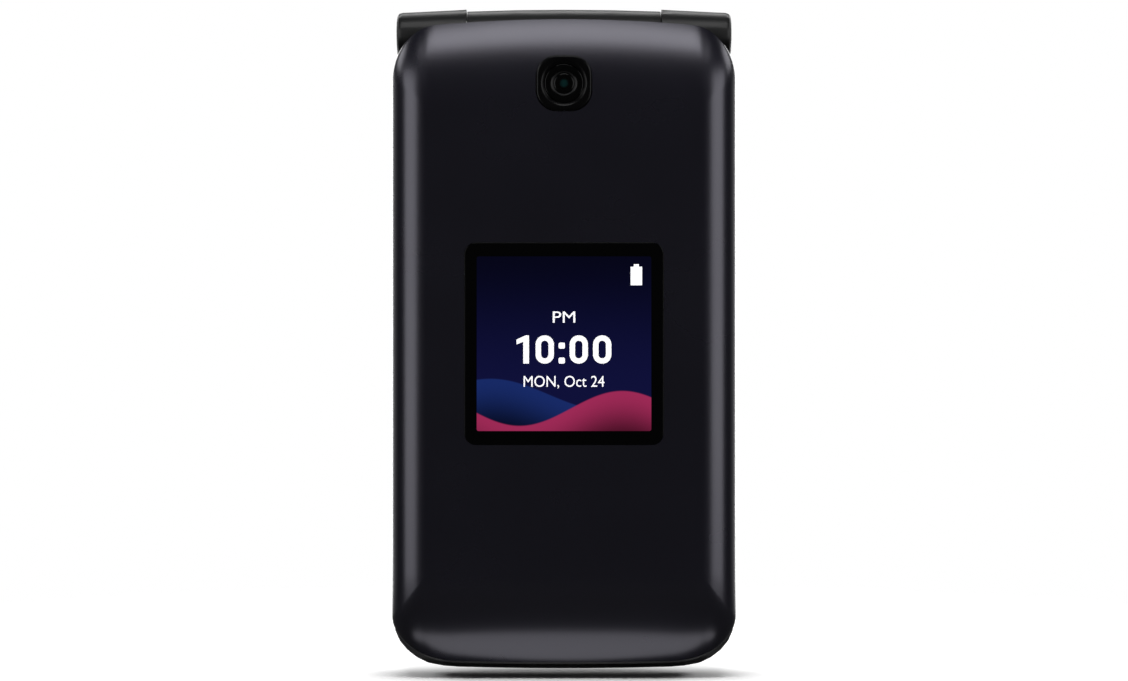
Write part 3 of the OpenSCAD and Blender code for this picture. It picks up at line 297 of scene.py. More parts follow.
class Finishes:
    """Makes each finish once: a plain one from its row, and any other by the method of its name"""

    def __init__(self):
        self.made = {}

    def __call__(self, name):
        if name not in self.made:
            look, colours = Look(name), bpy.context.scene.flip_phone_colours
            if name in PLAIN:
                self.plain(look, colours, **PLAIN[name])
            else:
                getattr(self, name)(look, colours)
            self.made[name] = look.material
        return self.made[name]

    def plain(self, look, colours, colour, cloud, roughness, grain=None, bump=None, **sockets):
        if isinstance(colour[0], str):
            colour = [shaded(getattr(colours, colour[0]), factor) for factor in colour[1:]]
        cloud = look.noise(*cloud)
        grain = look.noise(*grain) if grain else cloud
        base, swing = roughness
        look.set(base_color=look.blend(cloud, *colour), roughness=grain * swing + base if swing else base,
                 **sockets)
        if bump:
            look.bump(grain, *bump)

    def cover_matte(self, look, colours):
        """Diamond knurl that runs on round the sides and the ends. Its grooves are painted darker and its
        ridges lighter, as painted shade and light.
        """
        pitch = bpy.context.scene.flip_phone_shapes.knurl * math.sqrt(2)
        depth = look.y * -1.0
        side = look.x.math("SIGN") * depth + look.x
        ends = look.z.math("SIGN") * depth * 0.4 + look.z
        diamond = (side + ends).saw(pitch).least((side - ends).saw(pitch))
        cloud = look.noise(120, 4)
        # Painted shade and light: the colour is 0.15 of the cover's in the knurl's grooves and 1.7 of it on
        # its ridges
        look.set(base_color=look.blend(diamond.ease(0.05, 0.8) * 0.85 + cloud * 0.15,
                                       shaded(colours.cover, 0.15), shaded(colours.cover, 1.7)),
                 roughness=0.56 - diamond * 0.12 + cloud * 0.05, specular_ior_level=0.18)
        look.bump(diamond, 1.2e-4, 0.9)

    def window_black(self, look, colours):
        """Clear cover glass over black print, with faint smears"""
        smear = look.noise(700, 6, 0.75)
        cloud = look.noise(150, 4)
        look.set(base_color=look.blend(cloud, (0.0002, 0.0002, 0.0003), (0.0005, 0.0005, 0.0007)),
                 roughness=0.06 + smear.ease(0.5, 0.85) * 0.04, specular_ior_level=0.1)

    def steel(self, look, colours):
        """Steel brushed along x"""
        stretched = look.node("ShaderNodeMapping", None, {"Vector": look.place, "Scale": (400, 9000, 9000)})
        brushed = look.noise(1.0, 3.0, place=stretched.out())
        look.set(base_color=look.blend(look.noise(400, 3), (0.42, 0.42, 0.43), (0.6, 0.6, 0.61)),
                 metallic=1.0, roughness=0.26 + brushed * 0.16)
        look.bump(brushed, 2e-6, 0.4)

    def board(self, look, colours):
        """Green circuit board with tracks across and along it, which stop at patches"""
        patch = look.node("ShaderNodeTexVoronoi", {"feature": "F1", "distance": "CHEBYCHEV"},
                          {"Vector": look.place, "Scale": 210.0}).out("Distance")
        tracks = look.x.saw(1.6 * MM).above(0.82).most(look.z.saw(2.3 * MM).above(0.86)) * patch.above(0.35)
        grain = look.noise(3000, 3)
        green = look.blend(grain, (0.008, 0.075, 0.035), (0.014, 0.11, 0.052))
        look.set(base_color=look.blend(tracks * 0.8, green, (0.05, 0.24, 0.11)), roughness=0.38 + grain * 0.1)
        look.bump(tracks, 2e-5, 0.6)

    def flex(self, look, colours):
        """Amber film with copper lines along it"""
        lines = look.x.saw(0.5 * MM).above(0.6)
        cloud = look.noise(700, 3)
        amber = look.blend(cloud, (0.36, 0.15, 0.03), (0.5, 0.24, 0.06))
        look.set(base_color=look.blend(lines * 0.6, amber, (0.7, 0.36, 0.12)), roughness=0.34 + cloud * 0.1)

    def mesh(self, look, colours):
        """Woven metal cloth"""
        weave = look.x.saw(0.28 * MM).least(look.z.saw(0.28 * MM))
        look.set(base_color=look.blend(weave.ease(0.1, 0.5), (0.07, 0.07, 0.075), (0.004, 0.004, 0.004)),
                 metallic=0.6, roughness=0.45 + weave * 0.2)
        look.bump(1.0 - weave, 5e-5, 0.8)

    def battery(self, look, colours):
        """Dark sleeve with one pale band across it"""
        grain = look.noise(1500, 4)
        band = look.z.ease(6.6 * MM, 6.8 * MM) * (1.0 - look.z.ease(8.2 * MM, 8.4 * MM))
        sleeve = look.blend(grain, (0.05, 0.052, 0.058), (0.075, 0.077, 0.084))
        look.set(base_color=look.blend(band, sleeve, (0.22, 0.23, 0.25)), roughness=0.42 + grain * 0.14)
        look.bump(grain, 8e-6, 0.4)

    def lens_glass(self, look, colours):
        """Dark glass with a ring round a dark middle; the faint green spot in the middle is a painted glint
        """
        radius = from_axis(look.x, look.z - (middle_of(LENS).z - MIDDLE) * MM)
        ring = radius.ease(1.65 * MM, 1.72 * MM) * (1.0 - radius.ease(1.86 * MM, 1.94 * MM))
        # Painted glint: a faint green spot in the lens middle, blended into the base colour
        painted_glint = 1.0 - radius.ease(0.3 * MM, 0.8 * MM)
        pupil = look.blend(painted_glint, (0.0012, 0.0013, 0.0013), (0.004, 0.022, 0.022))
        look.set(base_color=look.blend(ring, pupil, (0.005, 0.0052, 0.0055)), roughness=0.12 + ring * 0.3,
                 specular_ior_level=0.07)

    def lit_white(self, look, colours):
        """Lit words and figures"""
        cloud = look.noise(3000, 1)
        look.set(base_color=(0.8, 0.8, 0.8), roughness=0.3 + cloud * 0.05, emission_strength=0.75,
                 emission_color=look.blend(cloud, (0.93, 0.93, 0.95), (0.97, 0.97, 1.0)))

    def outer_picture(self, look, colours):
        self.picture(look, colours, WINDOW, OUTER_VIEW, 1)

    def inner_picture(self, look, colours):
        self.picture(look, colours, INNER_WINDOW, INNER_VIEW, -1)

    def picture(self, look, colours, window, view, up):
        """Generic wallpaper: two waves under a dark sky. up is -1 where it hangs upside down"""
        across = look.x / (view[0] * MM) + 0.5
        along = (look.z - (middle_of(window).z - MIDDLE) * MM) / (view[1] * MM) * float(up) + 0.5
        field = look.blend(along.ease(0.2, 1.05), colours.navy, shaded(colours.navy, 0.2))
        for level, swing, turns, start, shade in ((0.21, 0.09, 0.75, 1.2, colours.blue),
                                                  (0.13, 0.1, 0.85, 3.4, colours.crimson)):
            crest = (across * (turns * 2 * math.pi) + start).math("SINE") * swing + level
            under = crest - along
            wave = look.blend(under.ease(0.0, 0.3), shade, shaded(shade, 0.1))
            field = look.blend(under.ease(-0.004, 0.006), field, wave)
        look.set(base_color=(0.0004, 0.0004, 0.0006), roughness=0.06 + look.noise(700, 4) * 0.03,
                 specular_ior_level=0.1, emission_color=field, emission_strength=1.0)


finish = Finishes()

# ---------------------------------------------------------------- mesh code

ROUND = 96  # points of a circle that is lofted to a round-cornered rectangle
HALVINGS = 40  # steps of the search for a round-cornered rectangle's edge
OPEN = (False, False)  # a loft without end faces
FRONT = (0.0, -1.0, 0.0)
NO_NORMAL = (0, 0, 0)
MARK = 0.012  # height of raised words and marks
MEET, SHEET_MEET = 2e-7, 1e-7  # points closer than this are one: in metres, and in a sheet's millimetres
SLIVER = 1e-9  # the least area of a sheet's triangle, doubled


def circle(radius, count=ROUND, x=0.0, z=0.0):
    return [(x + radius * math.cos(t), z + radius * math.sin(t))
            for t in (2 * math.pi * i / count for i in range(count))]


def rounded(w, h, r, count=ROUND, x=0.0, z=0.0):
    """Round-cornered rectangle with one point in each direction of circle(), so that the two can be lofted"""
    points = []
    for c, s in circle(1.0, count):
        low, high = 0.0, w + h
        for _ in range(HALVINGS):
            reach = (low + high) / 2
            if math.hypot(max(abs(c * reach) - (w / 2 - r), 0), max(abs(s * reach) - (h / 2 - r), 0)) > r:
                high = reach
            else:
                low = reach
        points.append((x + c * reach, z + s * reach))
    return points


def slab_loop(w, h, r, x=0.0, z=0.0, arc=7):
    """Round-cornered rectangle with its points at the corners only"""
    points = []
    for k, (sx, sz) in enumerate(((1, 1), (-1, 1), (-1, -1), (1, -1))):
        for i in range(arc + 1):
            t = math.pi / 2 * (k + i / arc)
            points.append((x + sx * (w / 2 - r) + r * math.cos(t), z + sz * (h / 2 - r) + r * math.sin(t)))
    return points


def at_y(loop, y):
    """A loop in x and z, stood at a depth y"""
    return [(x, y, z) for x, z in loop]


def within(x, z, loop):
    x0, z0 = loop[:, 0], loop[:, 1]
    x1, z1 = np.roll(x0, -1), np.roll(z0, -1)
    rise = np.where(z1 == z0, 1e-12, z1 - z0)
    cross = ((z0 > z) != (z1 > z)) & (x < (x1 - x0) * (z - z0) / rise + x0)
    return cross.sum() % 2 == 1


class Shape:
    """Points in millimetres of the drawing, faces, and a finish for each face"""

    def __init__(self):
        self.points = []
        self.normals = []
        self.faces = []
        self.finishes = []

    def add(self, points, faces, finish_index=0, normals=None):
        start = len(self.points)
        self.points += [tuple(p) for p in points]
        self.normals += [tuple(n) for n in normals] if normals is not None else [NO_NORMAL] * len(points)
        self.faces += [tuple(start + i for i in f) for f in faces]
        self.finishes += [finish_index] * len(faces)

    def loft(self, loops, finish_index=0, cap=(True, True)):
        """Joins closed loops of equally many 3-D points, and closes the first and the last"""
        n = len(loops[0])
        faces = []
        for k in range(len(loops) - 1):
            for i in range(n):
                j = (i + 1) % n
                faces.append((k * n + i, k * n + j, (k + 1) * n + j, (k + 1) * n + i))
        if cap[0]:
            faces.append(tuple(range(n - 1, -1, -1)))
        if cap[1]:
            faces.append(tuple((len(loops) - 1) * n + i for i in range(n)))
        self.add([p for loop in loops for p in loop], faces, finish_index)

    def sheet(self, outline, holes, lift, finish_index=0, inside=(), flip=False):
        """Triangles between an outline and its holes in x and z; lift gives y and a normal for a point"""
        loops = [outline, *holes]
        flat = [p for loop in loops for p in loop] + list(inside)
        edges, start = [], 0
        for loop in loops:
            n = len(loop)
            edges += [(start + i, start + (i + 1) % n) for i in range(n)]
            start += n
        made = delaunay_2d_cdt([Vector(p) for p in flat], edges, [], 0, SHEET_MEET)
        verts, tris = made[0], made[2]
        rim, *pockets = [np.array(loop) for loop in loops]
        faces = []
        for tri in tris:
            a, b, c = (verts[i] for i in tri)
            centre = sum(v.x for v in (a, b, c)) / 3, sum(v.y for v in (a, b, c)) / 3
            if within(*centre, rim) and not any(within(*centre, pocket) for pocket in pockets):
                turn = (b.x - a.x) * (c.y - a.y) - (b.y - a.y) * (c.x - a.x)
                if abs(turn) > SLIVER:
                    faces.append(tuple(tri if (turn > 0) != flip else tri[::-1]))
        lifted = [lift(v.x, v.y) for v in verts]
        self.add([(v.x, y, v.y) for v, (y, _) in zip(verts, lifted)], faces, finish_index,
                 [normal for _, normal in lifted])

    def piece(self, name, body, finishes, replaces=(), sharp=32):
        """Makes the object, in the frame's metres, and seats it on its body"""
        mesh = bpy.data.meshes.new(name)
        mesh.from_pydata([(x * MM, (y - THICK) * MM, (z - MIDDLE) * MM) for x, y, z in self.points], [],
                         self.faces)
        mesh.polygons.foreach_set("material_index", self.finishes)
        mesh.polygons.foreach_set("use_smooth", [True] * len(self.faces))
        mesh.update()
        normals = welded(mesh, self.normals)
        mesh.set_sharp_from_angle(angle=math.radians(sharp))
        if normals.any():
            mesh.normals_split_custom_set_from_vertices([tuple(n) for n in normals])
        seat(mesh, body, finishes, replaces)


def welded(mesh, normals):
    """Welds points that meet and share a set normal, and returns the set normals of those that are left"""
    store = mesh.attributes.new("set_normal", "FLOAT_VECTOR", "POINT")
    store.data.foreach_set("vector", [c for n in normals for c in n])
    bm = bmesh.new()
    bm.from_mesh(mesh)
    layer = bm.verts.layers.float_vector["set_normal"]
    groups = {}
    for v in bm.verts:
        groups.setdefault(tuple(round(c, 2) for c in v[layer]), []).append(v)
    for same in groups.values():
        bmesh.ops.remove_doubles(bm, verts=[v for v in same if v.is_valid], dist=MEET)
    bm.to_mesh(mesh)
    bm.free()
    store = mesh.attributes["set_normal"]
    values = np.zeros(len(mesh.vertices) * 3)
    store.data.foreach_get("vector", values)
    mesh.attributes.remove(store)
    return values.reshape(-1, 3)


def seat(mesh, body, finishes, replaces=()):
    """Makes a mesh an object with its finishes, which rides on a body and may stand for nodes"""
    for name in finishes:
        mesh.materials.append(finish(name))
    made = bpy.data.objects.new(mesh.name, mesh)
    bpy.context.scene.collection.objects.link(made)
    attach(made, body)
    if replaces:
        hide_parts(*replaces)
    return made


SIDE_ENDS = [corner.z / MM for node in ("side_key", "volume_rocker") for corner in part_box(node)]
KEY_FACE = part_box("side_key")[1].x
SIDE_WALL = 25.0  # all the points of the side wall lie further out than this
KEY_FLANGE = 25.6 * MM  # a side key's flange lies inside this, and its cap outside
FLANGE_GAP = 0.08 * MM
FACE_SINK = 0.03 * MM
CAP_SHARE = 0.955  # a hinge cap's size against the frame's
FACET_ANGLE, BREAK_ANGLE, SHARP_ANGLE = map(math.radians, (0.4, 24, 40))


def at_side_key(a, b):
    """Whether an edge runs across the side wall at the end of a side key or of its slot"""
    level = abs(a.y - b.y) < 0.01 and abs(a.z - b.z) < 0.01 and abs(a.x - b.x) > 1.0
    return level and min(a.x, b.x) > SIDE_WALL and min(abs(a.z - z) for z in SIDE_ENDS) < 0.5


def eased_key(point):
    """Keeps a side key's flange clear of the wall, and sinks its face so that its marks stand out"""
    if point.x < KEY_FLANGE:
        point.x -= FLANGE_GAP
    elif point.x > KEY_FACE - 0.001 * MM:
        point.x -= FACE_SINK


def drawn_in(node):
    """Moves a hinge cap's points in, in y and z about its own middle"""
    middle = sum(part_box(node), Vector()) / 2

    def move(point):
        point.yz = (middle.yz + (point.yz - middle.yz) * CAP_SHARE)
    return move


def softened(node, name, body, finishes, edge=0.1, segments=2, choose=None, corner=0.0, move=None):
    """A copy of a node's own shape with its facets merged, its edges broken and its curves smooth.

    corner rounds a side key's or its slot's corners, choose gives a face's finish and move shifts a point.
    """
    bm = bmesh.new()
    bm.from_mesh(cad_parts[node].data)
    for layer in list(bm.loops.layers.float_vector.values()):
        bm.loops.layers.float_vector.remove(layer)
    bmesh.ops.remove_doubles(bm, verts=bm.verts, dist=1e-6)
    bmesh.ops.dissolve_limit(bm, angle_limit=FACET_ANGLE, verts=bm.verts, edges=bm.edges)
    bmesh.ops.recalc_face_normals(bm, faces=bm.faces)
    if corner:
        upright = [e for e in bm.edges if e.is_manifold and at_side_key(*(v.co / MM for v in e.verts))]
        bmesh.ops.bevel(bm, geom=upright, offset=corner * MM, segments=6, profile=0.5, affect="EDGES",
                        clamp_overlap=False)
    chosen = [e for e in bm.edges if e.is_manifold and e.is_convex and e.calc_face_angle(0) > BREAK_ANGLE]
    bmesh.ops.bevel(bm, geom=chosen, offset=edge * MM, segments=segments, profile=0.5, affect="EDGES",
                    clamp_overlap=True, loop_slide=True)
    for v in bm.verts if move else ():
        move(v.co)
    for face in bm.faces:
        face.smooth = True
        face.material_index = choose(face) if choose else 0
    mesh = bpy.data.meshes.new(name)
    bm.to_mesh(mesh)
    bm.free()
    for attribute in ("custom_normal", "set_normal"):
        if attribute in mesh.attributes:
            mesh.attributes.remove(mesh.attributes[attribute])
    mesh.set_sharp_from_angle(angle=SHARP_ANGLE)
    made = seat(mesh, body, finishes, (node,))
    weighted = made.modifiers.new("weighted", "WEIGHTED_NORMAL")
    weighted.keep_sharp = True
    weighted.weight = 80


def lettering(text, size, x, z, y, up=1, weight=0.0):
    """Points and faces of a raised line of text, centred at x and z. up is -1 where it hangs upside down"""
    curve = bpy.data.curves.new("text", "FONT")
    curve.body = text
    curve.size = size
    curve.align_x = "CENTER"
    curve.align_y = "CENTER"
    curve.extrude = MARK / 2
    curve.offset = weight
    curve.resolution_u = 6
    holder = bpy.data.objects.new("text", curve)
    bpy.context.scene.collection.objects.link(holder)
    made = bpy.data.meshes.new_from_object(holder.evaluated_get(bpy.context.evaluated_depsgraph_get()))
    co = np.array([v.co for v in made.vertices])
    if len(co) == 0:
        raise RuntimeError("the built-in font made no letters")
    middle = (co.min(0) + co.max(0)) / 2
    points = [(x + c[0] - middle[0], y - up * (c[2] + MARK / 2), z + up * (c[1] - middle[1])) for c in co]
    faces = [tuple(p.vertices) for p in made.polygons]
    bpy.data.objects.remove(holder)
    bpy.data.curves.remove(curve)
    bpy.data.meshes.remove(made)
    return points, faces


def fitted(text, wide, tall, x, z, y, up):
    """Lettering drawn to a width and a height"""
    points, faces = lettering(text, tall, x, z, y, up)
    own_wide, own_tall = (max(p[i] for p in points) - min(p[i] for p in points) for i in (0, 2))
    return [(x + (px - x) * wide / own_wide, py, z + (pz - z) * tall / own_tall)
            for px, py, pz in points], faces


def clock(wide, tall, x, z, y, up):
    """A generic time in bold raised figures, 10:00, centred at x and z"""
    own_wide, own_tall = 15.0, 4.4
    one = [[(-0.95, 1.55), (0.5, 2.2), (1.0, 2.2), (1.0, -2.2), (0.1, -2.2), (0.1, 1.2), (-0.95, 0.8)]]
    zero = [rounded(2.85, own_tall, 1.4, 64), rounded(1.15, 2.75, 0.57, 64)]
    dots = [[slab_loop(1.0, 0.95, 0.25, 0, level, 3)] for level in (-1.72, 0.6)]
    front = y - up * MARK
    shape = Shape()
    for shift, rims in ((-6.45, one), (-3.0, zero), (-0.35, dots[0]), (-0.35, dots[1]), (2.3, zero),
                        (5.95, zero)):
        rims = [[(x + (px + shift) * wide / own_wide, z + up * pz * tall / own_tall) for px, pz in rim]
                for rim in rims]
        loops = [at_y(rims[0], y), at_y(rims[0], front)]
        if len(rims) > 1:
            loops += [at_y(rims[1], front), at_y(rims[1], y), loops[0]]
        shape.loft(loops, cap=(len(rims) == 1,) * 2)
    return shape.points, shape.faces


def screen(shape, window, border, view, front, lit, up, words, figures):
    """Border, picture, words and time of a display.

    front and lit are the border's and the picture's y. Words and figures give their width, height and how far
    above the window's middle they stand.
    """
    c = middle_of(window)
    view = slab_loop(*view, 0.3, c.x, c.z, arc=4)
    shape.sheet(border, [view], lambda x, z: (front, NO_NORMAL), flip=up < 0)
    if lit != front:
        shape.loft([at_y(view, front), at_y(view, lit)], cap=OPEN)
    shape.sheet(view, [], lambda x, z: (lit, NO_NORMAL), 1, flip=up < 0)
    for text, wide, tall, above in words:
        shape.add(*fitted(text, wide, tall, c.x, c.z + above, lit, up), 2)
    wide, tall, above = figures
    shape.add(*clock(wide, tall, c.x, c.z + above, lit, up), 2)


ENDS, CORNER, SIDE = 10, 20, 24  # points of an outline's end, corner and side


def end_of(half, z, sign, width, height, sag):
    """One end of an outline, from its middle to the side: the corner's width and height, and the end's sag"""
    def level(x):
        return z + sign * sag * (x / half) ** 2

    points = [(x, level(x)) for x in ((half - width) * i / ENDS for i in range(ENDS + 1))]
    for i in range(1, CORNER + 1):
        t = math.pi / 2 * i / CORNER
        x = half - width * (1 - math.sin(t))
        points.append((x, level(x) + sign * height * (1 - math.cos(t))))
    return points


def right_outline(half, z0, z1, lo, hi):
    """Right half of an outline, from the lower middle round to the upper middle"""
    lower, upper = end_of(half, z0, 1, *lo), end_of(half, z1, -1, *hi)[::-1]
    bottom, top = lower[-1][1], upper[0][1]
    return lower + [(half, bottom + (top - bottom) * i / SIDE) for i in range(1, SIDE)] + upper


def both(right):
    return right + [(-x, z) for x, z in reversed(right[1:-1])]


def smooth(t):
    t = min(1.0, max(0.0, t))
    return t * t * (3 - 2 * t)


class Roll:
    """A moulding's face: flat in the middle, rolled over at the sides and the ends.

    lo and hi are the ends' corner width, corner height and sag, deep is how deep the sides, the lower end and
    the upper end roll, and powers are those of the two ends' curves.
    """
    LEVELS = [math.sin(math.pi / 2 * i / 18) for i in range(19)]  # shares of the way down the roll
    STRIP = 4  # points on each side of the upper middle where holes may reach into the roll
    TINY, NEAR = 1e-4, 0.02  # shares of the way down, and along to a neighbour, over which slopes are taken
    COLUMNS, CLEAR = 25, 0.25  # of the points between the holes

    def __init__(self, half, z0, z1, lo, hi, flat_x, flat_z, deep, powers):
        self.half, self.z0, self.z1 = half, z0, z1
        self.right = right_outline(half, z0, z1, lo, hi)
        self.flat_x, self.flat_z = flat_x, flat_z
        self.deep, self.powers, self.sag = deep, powers, hi[2]

    def foot(self, point):
        """Where the roll starts for a point of the outline"""
        x, z = point
        return (max(-self.flat_x, min(self.flat_x, x)), max(self.flat_z[0], min(self.flat_z[1], z)))

    def depth(self, point, q=1.0):
        x, z = point
        across = max(0.0, (abs(x) - self.flat_x) / (self.half - self.flat_x))
        upper = z > (self.flat_z[0] + self.flat_z[1]) / 2
        if upper:
            along = max(0.0, (z - self.flat_z[1]) / (self.z1 - self.flat_z[1]))
        else:
            along = max(0.0, (self.flat_z[0] - z) / (self.flat_z[0] - self.z0))
        share = smooth((along / (across + along) - 0.1) / 0.8) if along > 0 else 0.0
        end = self.deep[1 + upper] * q ** self.powers[upper]
        side = self.deep[0] * (1 - math.sqrt(max(0.0, 1 - q * q)))
        return side * (1 - share) + end * share

    def at(self, point, q):
        fx, fz = self.foot(point)
        return np.array((fx + (point[0] - fx) * q, self.depth(point, q), fz + (point[1] - fz) * q))

    def roof(self, x):
        return self.z1 - self.sag * (x / self.half) ** 2

    def upper(self, x, z):
        """Depth and slope of the upper end's middle at a point"""
        if z <= self.flat_z[1]:
            return 0.0, FRONT

        def deep(x, z):
            q = max(0.0, (z - self.flat_z[1]) / (self.roof(x) - self.flat_z[1]))
            return self.deep[2] * q ** self.powers[1]

        step = 0.01
        dx = (deep(x + step, z) - deep(x - step, z)) / (2 * step)
        dz = (deep(x, z + step) - deep(x, z - step)) / (2 * step)
        n = math.sqrt(dx * dx + dz * dz + 1)
        return deep(x, z), (dx / n, -1 / n, dz / n)

    def on_upper(self, loop, base=0.0, sign=1):
        """A loop in x and z laid on the upper end, with y = base + sign * depth"""
        return [(x, base + sign * self.upper(x, z)[0], z) for x, z in loop]

    def normal(self, before, p, after, q):
        """Normal at an outline's point, between its neighbours, a share q of the way down the roll"""
        if q == 0:
            return np.array(FRONT)
        ahead, behind = ([p[i] + (to[i] - p[i]) * self.NEAR for i in (0, 1)] for to in (after, before))
        down = self.at(p, q) - self.at(p, max(q - self.TINY, 0.0))
        normal = np.cross(self.at(ahead, max(q, self.NEAR)) - self.at(behind, max(q, self.NEAR)), down)
        size = np.linalg.norm(normal)
        if size < 1e-15:
            return np.array(FRONT)
        return normal / (-size if normal[1] / size > 1e-6 else size)

    def build(self, shape, base, sign, holes, inner=False):
        """Adds the face to a shape, with y = base + sign * depth. Returns the outline at its rim"""
        loop = both(self.right)
        n, count = len(loop), len(self.LEVELS)
        grid = [[self.at(p, q) for q in self.LEVELS] for p in loop]
        flip = (sign < 0) != inner
        swap = -1 if inner else 1

        def turned(m):
            return (m[0] * swap, m[1] * sign * swap, m[2] * swap)

        top = len(self.right) - 1
        first, last = (top - self.STRIP) % n, (top + self.STRIP) % n
        cut = {(top + k) % n for k in range(-self.STRIP, self.STRIP)} if holes else set()
        normals = [turned(self.normal(loop[i - 1], loop[i], loop[(i + 1) % n], q)) for i in range(n)
                   for q in self.LEVELS]
        faces = []
        for i in range(n):
            if i in cut:
                continue
            j = (i + 1) % n
            for k in range(count - 1):
                quad = (i * count + k, i * count + k + 1, j * count + k + 1, j * count + k)
                if k == 0 and np.allclose(grid[i][0], grid[j][0]):
                    quad = quad[:3]
                faces.append(quad[::-1] if flip else quad)
        shape.add([(x, base + sign * y, z) for row in grid for x, y, z in row], faces, 0, normals)
        middle = []
        for i in range(n):
            down = [(x, z) for x, _, z in grid[i]]
            if cut and i == first:
                middle += down
            elif i in cut:
                middle.append(down[-1])
            elif cut and i == last:
                middle += down[::-1]
            elif not middle or math.dist(middle[-1], down[0]) > 1e-6:
                middle.append(down[0])

        def lift(x, z):
            depth, m = self.upper(x, z) if cut else (0.0, FRONT)
            return base + sign * depth, turned(m)

        shape.sheet(middle, holes, lift, 0, self.between(holes, grid[first][0][0]) if cut else (), flip)
        return loop

    def between(self, holes, edge):
        """Points over the strip of the upper end that the holes reach into, clear of the holes"""
        rims = [np.array(hole) for hole in holes]
        points = []
        for q in self.LEVELS[:-1]:
            for x in np.linspace(-edge, edge, self.COLUMNS)[1:-1]:
                z = self.flat_z[1] + (self.roof(x) - self.flat_z[1]) * q
                place = np.array((x, z))
                near = min(float(np.min(np.hypot(*(rim - place).T))) for rim in rims)
                hollow = any((rim.min(0) < place).all() and (place < rim.max(0)).all() for rim in rims)
                if near > self.CLEAR and not hollow:
                    points.append((x, z))
        return points


def bar(c, top, w, h, index=1, dx=0.0, dz=0.0, turn=0.0):
    """A raised round-ended bar near a key's middle, turned by an angle"""
    co, si = math.cos(turn), math.sin(turn)
    return mark([(c.x + dx + x * co - z * si, c.z + dz + x * si + z * co)
                 for x, z in slab_loop(w, h, min(w, h) * 0.45, arc=4)], top, index)


def mark(loop, top, index=1):
    shape = Shape()
    shape.loft([at_y(loop, top), at_y(loop, top - MARK)])
    return shape.points, shape.faces, index


def key_cap(node, corner, crown, marks, flange=0.25, size=None, hole=None):
    """Moulds a key with a crowned top and raised marks. hole is a bore's width, height and corner"""
    low, high = drawn(node)
    c = middle_of((low, high))
    top, back = low.y, high.y
    w, h = size or (high.x - low.x - 2 * flange, high.z - low.z - 2 * flange)
    grow = (high.x - low.x - w) / 2

    def ring(inset, y, grow=0.0):
        wider = 2 * (grow - inset)
        return at_y(rounded(w + wider, h + wider, max(corner - inset, 0.3) + grow, ROUND, c.x, c.z), y)

    def bore(grown, y):
        return at_y(rounded(hole[0] + 2 * grown, hole[1] + 2 * grown, hole[2] + grown, ROUND, c.x, c.z), y)

    shape = Shape()
    loops = [ring(0, back)]
    if grow > 0:
        loops = [ring(0, back, grow), ring(0, back - 0.25, grow), ring(0, back - 0.26)]
    crowning = ((0, 1), (0.06, 0.45), (0.2, 0.15), (0.5, 0))
    loops += [ring(inset, top + crown * fall) for inset, fall in crowning]
    if hole:
        loops += [bore(0.35, top), bore(0.08, top + 0.08), bore(0, top + 0.2), bore(0, back), loops[0]]
        shape.loft(loops, cap=OPEN)
    else:
        shape.loft([*loops, ring(min(w, h) * 0.3, top)])
    for points, faces, index in marks(c, top):
        shape.add(points, faces, index)
    shape.piece(node + "_cap", node, ["key_rubber", "legend_white", "legend_green", "legend_red"], (node,),
                sharp=45)


# ---------------------------------------------------------------- operators


class FLIPPHONE_OT_lid_shell(bpy.types.Operator):
    """Makes the lid's gloss outer shell with its rolled edges and its two pockets"""
    bl_idname = "flipphone.lid_shell"
    bl_label = "Lid shell"
    bl_options = {"REGISTER", "UNDO"}

    WALL = 1.5
    FLOOR, FLOOR_SHARE = 2.4, 0.93  # y of the hollow's floor, and its size against the hollow's rim

    def execute(self, context):
        shape = Shape()
        low, high = drawn("lid_outer_shell")
        roll = Roll(HALF, low.z, high.z, lo=(10, 6.9, 0.5), hi=(7, 8, 1.6), flat_x=HALF - 5.5,
                    flat_z=(16.0, 89.0), deep=(3.8, 4.0, 3.3), powers=(2.05, 2.3))
        window, bezel = middle_of(WINDOW), middle_of(BEZEL)
        holes = [slab_loop(31.1, 31.6, 1.85, window.x, window.z),
                 slab_loop(8.8, 8.8, 3.25, bezel.x, bezel.z, arc=10)]
        rim = roll.build(shape, 0.0, 1, holes)
        shape.loft([[(x, roll.depth((x, z)), z) for x, z in rim], at_y(rim, high.y)], cap=OPEN)
        inner = both(right_outline(HALF - self.WALL, low.z + self.WALL, high.z - self.WALL, (8.5, 5.7, 0.5),
                                   (5.5, 6.5, 1.5)))
        floor = [(x * self.FLOOR_SHARE, MIDDLE + (z - MIDDLE) * self.FLOOR_SHARE) for x, z in inner]
        shape.loft([at_y(rim, high.y), at_y(inner, high.y), at_y(floor, self.FLOOR)], cap=OPEN)
        shape.sheet(floor, holes, lambda x, z: (self.FLOOR, NO_NORMAL), flip=True)
        for hole in holes:
            shape.loft([roll.on_upper(hole), at_y(hole, self.FLOOR)], cap=OPEN)
        shape.piece("lid_shell", "lid", ["shell_gloss"], ("lid_outer_shell",))
        return {"FINISHED"}


